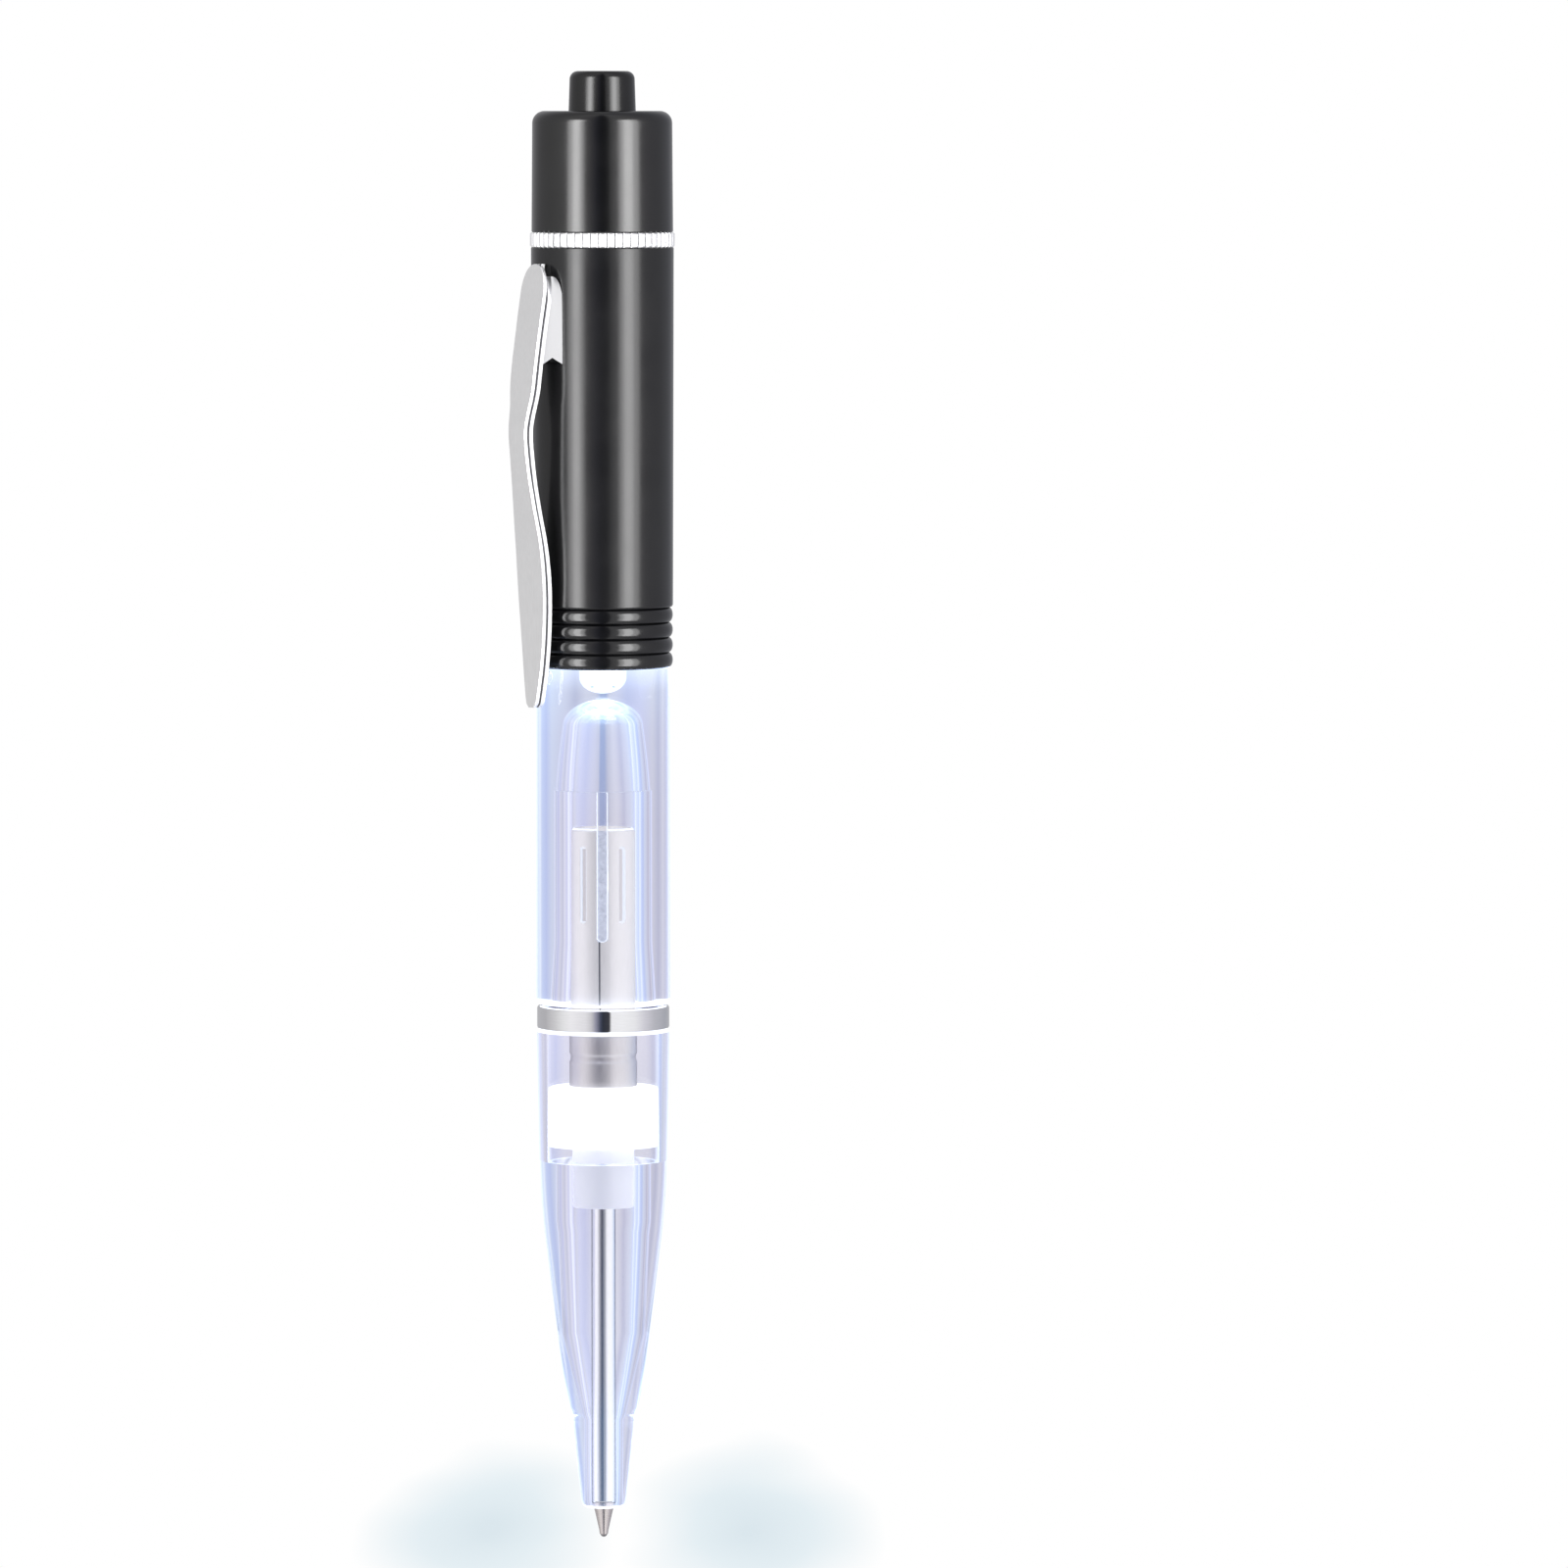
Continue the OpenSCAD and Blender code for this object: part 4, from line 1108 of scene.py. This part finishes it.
def make_camera():
    """The photograph's view."""
    data = bpy.data.cameras.new("camera")
    data.lens = LENS
    data.sensor_width = SENSOR_WIDTH
    camera = bpy.data.objects.new("camera", data)
    eye = toward(0) * VIEW_DISTANCE + toward(pi / 2) * EYE_ASIDE
    camera.location = eye + Vector((0, 0, EYE_HEIGHT))
    aim = -toward(0) * cos(VIEW_PITCH) - Vector((0, 0, sin(VIEW_PITCH)))
    camera.rotation_mode = "QUATERNION"
    camera.rotation_quaternion = aim.to_track_quat("-Z", "Y")
    bpy.context.scene.collection.objects.link(camera)
    bpy.context.scene.camera = camera


def make_panel(name, bearing, width, radiance, receivers):
    """Tall soft light panel that faces the pen and lights only the receivers."""
    data = bpy.data.lights.new(name, "AREA")
    data.shape = "RECTANGLE"
    data.size, data.size_y = width, PANEL_HEIGHT
    # An area light is as bright as its power over four times its area
    data.energy = radiance * 4 * width * PANEL_HEIGHT
    panel = bpy.data.objects.new(name, data)
    centre = (cad_box[0] + cad_box[1]) / 2
    panel.location = Vector((0, 0, centre.z)) + toward(bearing)
    panel.rotation_mode = "QUATERNION"
    panel.rotation_quaternion = (-toward(bearing)).to_track_quat("-Z", "Y")
    panel.visible_camera = False
    panel.visible_transmission = False
    panel.light_linking.receiver_collection = receivers
    bpy.context.scene.collection.objects.link(panel)


def surroundings(world, stops, strength):
    """Background whose colour depends on the bearing; stops are (degrees, colour).

    0 degrees is straight behind the pen as the camera sees it, and 90 is to the right."""
    direction = world.node_tree.nodes.new("ShaderNodeTexCoord").outputs["Generated"]
    right, behind = (
        worked(world, "DOT_PRODUCT", direction, axis, vector=True)
        for axis in (toward(pi / 2), -toward(0)))
    share = between(world, worked(world, "ARCTAN2", right, behind), (-pi, pi), (0, 1))
    round_about = [(bearing / 360 + 0.5, colour) for bearing, colour in stops]
    background = world.node_tree.nodes.new("ShaderNodeBackground")
    background.inputs["Strength"].default_value = strength
    feed(world, background.inputs["Color"], colours(world, share, round_about))
    return background.outputs["Background"]


# What polished parts mirror: a dim studio, dark on the camera's side, as (degrees, colour)
MIRRORED = [
    (-180, (0.035, 0.04, 0.06)), (-176, (0.06, 0.07, 0.11)), (-168, (0.30, 0.30, 0.38)),
    (-160, (0.62, 0.61, 0.63)), (-150, (0.80, 0.79, 0.81)), (-123, (0.90, 0.89, 0.90)),
    (-105, (0.80, 0.80, 0.80)), (-88, (0.64, 0.635, 0.64)), (-60, (0.46, 0.455, 0.47)),
    (0, (0.50, 0.50, 0.52)), (40, (0.40, 0.41, 0.45)), (77, (0.50, 0.50, 0.54)),
    (101, (0.66, 0.65, 0.70)), (122, (0.86, 0.86, 0.87)), (145, (0.93, 0.93, 0.94)),
    (165, (0.90, 0.90, 0.91)), (168, (0.05, 0.05, 0.06)), (180, (0.03, 0.035, 0.05)),
]
# What the clear barrels show of the surroundings, as soft bright and grey bands
SEEN_THROUGH = [
    (-180, (0.10, 0.10, 0.12)), (-166, (0.06, 0.06, 0.07)), (-150, (0.26, 0.25, 0.27)),
    (-135, (0.66, 0.64, 0.66)), (-120, (1.0, 0.97, 0.98)), (-100, (0.96, 0.93, 0.96)),
    (-80, (0.56, 0.55, 0.76)), (-70, (0.85, 0.87, 0.92)), (-64, (0.56, 0.56, 0.74)),
    (-52, (0.68, 0.67, 0.76)), (-44, (0.48, 0.48, 0.60)), (-36, (0.60, 0.59, 0.66)),
    (-24, (0.56, 0.56, 0.72)), (-15, (0.47, 0.48, 0.66)), (-8, (0.57, 0.56, 0.66)),
    (-4, (0.55, 0.54, 0.62)), (-3, (0.34, 0.38, 0.55)), (0.5, (0.34, 0.38, 0.55)),
    (2, (0.54, 0.53, 0.60)), (8, (0.58, 0.56, 0.62)), (15, (0.42, 0.41, 0.52)),
    (22, (0.54, 0.54, 0.64)), (36, (0.58, 0.62, 0.74)), (44, (0.46, 0.52, 0.76)),
    (52, (0.54, 0.62, 0.86)), (58, (0.80, 0.86, 0.95)), (64, (0.56, 0.65, 0.88)),
    (80, (0.80, 0.84, 0.90)), (100, (0.94, 0.93, 0.95)), (140, (1.0, 0.98, 0.99)),
    (155, (0.74, 0.72, 0.74)), (166, (0.30, 0.30, 0.32)),
]


def make_world():
    """White surroundings, but dimmer and uneven where gloss or a clear barrel shows them."""
    world = bpy.data.worlds.new("studio")
    bpy.context.scene.world = world
    world.use_nodes = True
    nodes = world.node_tree.nodes
    nodes["Background"].inputs["Color"].default_value = (1, 1, 1, 1)
    shown = nodes["Background"].outputs["Background"]
    ray = nodes.new("ShaderNodeLightPath")
    for kind, stops, strength in (
            ("Is Reflection Ray", MIRRORED, 1.0), ("Is Transmission Ray", SEEN_THROUGH, 1.15)):
        either = nodes.new("ShaderNodeMixShader")
        feed(world, either.inputs["Fac"], ray.outputs[kind])
        feed(world, either.inputs[1], shown)
        feed(world, either.inputs[2], surroundings(world, stops, strength))
        shown = either.outputs["Shader"]
    feed(world, nodes["World Output"].inputs["Surface"], shown)


# Painted pool of the lamp's light, two faint patches on the floor: how far behind and aside, how long,
# how uneven
POOL_BEHIND = 90 * MM
POOL_ASIDE = 14 * MM
POOL_LENGTH = 80 * MM
POOL_UNEVEN = (-0.12, 0.12)


def pool(material):
    """White with two faint blue patches of painted light on the floor, to the left and right behind the
    pen.
    """
    def step(operation, first, second=None):
        return worked(material, operation, first, second, vector=True)

    mirrored = step("ABSOLUTE", step("SUBTRACT", place_of(material), (0, POOL_BEHIND, 0)))
    aside = step("SUBTRACT", mirrored, (POOL_ASIDE, 0, 0))
    distance = step("LENGTH", step("MULTIPLY", aside, (1 / POOL_ASIDE, 1 / POOL_LENGTH, 1)))
    blotches = between(material, grain(material, 20 * MM, (1, 3, 1), 1), NOISE, POOL_UNEVEN)
    return colours(material, worked(material, "ADD", distance, blotches), [
        (0.0, (0.71, 0.80, 0.85)), (0.4, (0.78, 0.86, 0.90)), (1.0, (1, 1, 1))])


def make_floor():
    """Pale floor with a faint blue painted pool of the lamp's light."""
    bm = bmesh.new()
    bmesh.ops.create_circle(bm, cap_ends=True, radius=FLOOR_R, segments=96)
    floor = to_object("floor", bm)
    floor.location.z = FLOOR_Z
    floor.rotation_euler.z = VIEW_BEARING
    material = new_material("floor", Roughness=1.0, Specular_IOR_Level=0.0, Base_Color=(0, 0, 0, 1))
    shader_of(material).inputs["Emission Strength"].default_value = 1.0
    plug(material, pool(material), "Emission Color")
    floor.data.materials.append(material)
    floor.visible_glossy = False
    floor.visible_diffuse = False
    floor.visible_transmission = False
    floor.visible_shadow = False


OPAQUE_PARTS = (
    "head_shell", "button_cap", "knurled_ring", "black_barrel", "beaded_collar", "clip_strip",
)
# Each panel's name, bearing in degrees, width in metres and brightness
PANELS = (
    ("left_core", -42, 0.22, 4.2), ("left_halo", -43, 0.50, 3.6),
    ("right_core", 44, 0.28, 3.8), ("right_halo", 46, 0.64, 3.4),
)
PANEL_HEIGHT = 1.3


def make_panels():
    """Panels that light the opaque outer parts and nothing else."""
    receivers = bpy.data.collections.new("glossy_parts")
    for name in OPAQUE_PARTS:
        receivers.objects.link(bpy.data.objects[name])
    for name, bearing, width, radiance in PANELS:
        make_panel(name, radians(bearing), width, radiance, receivers)


make_camera()
make_world()
make_floor()
make_panels()
bpy.context.scene.view_settings.view_transform = "Standard"
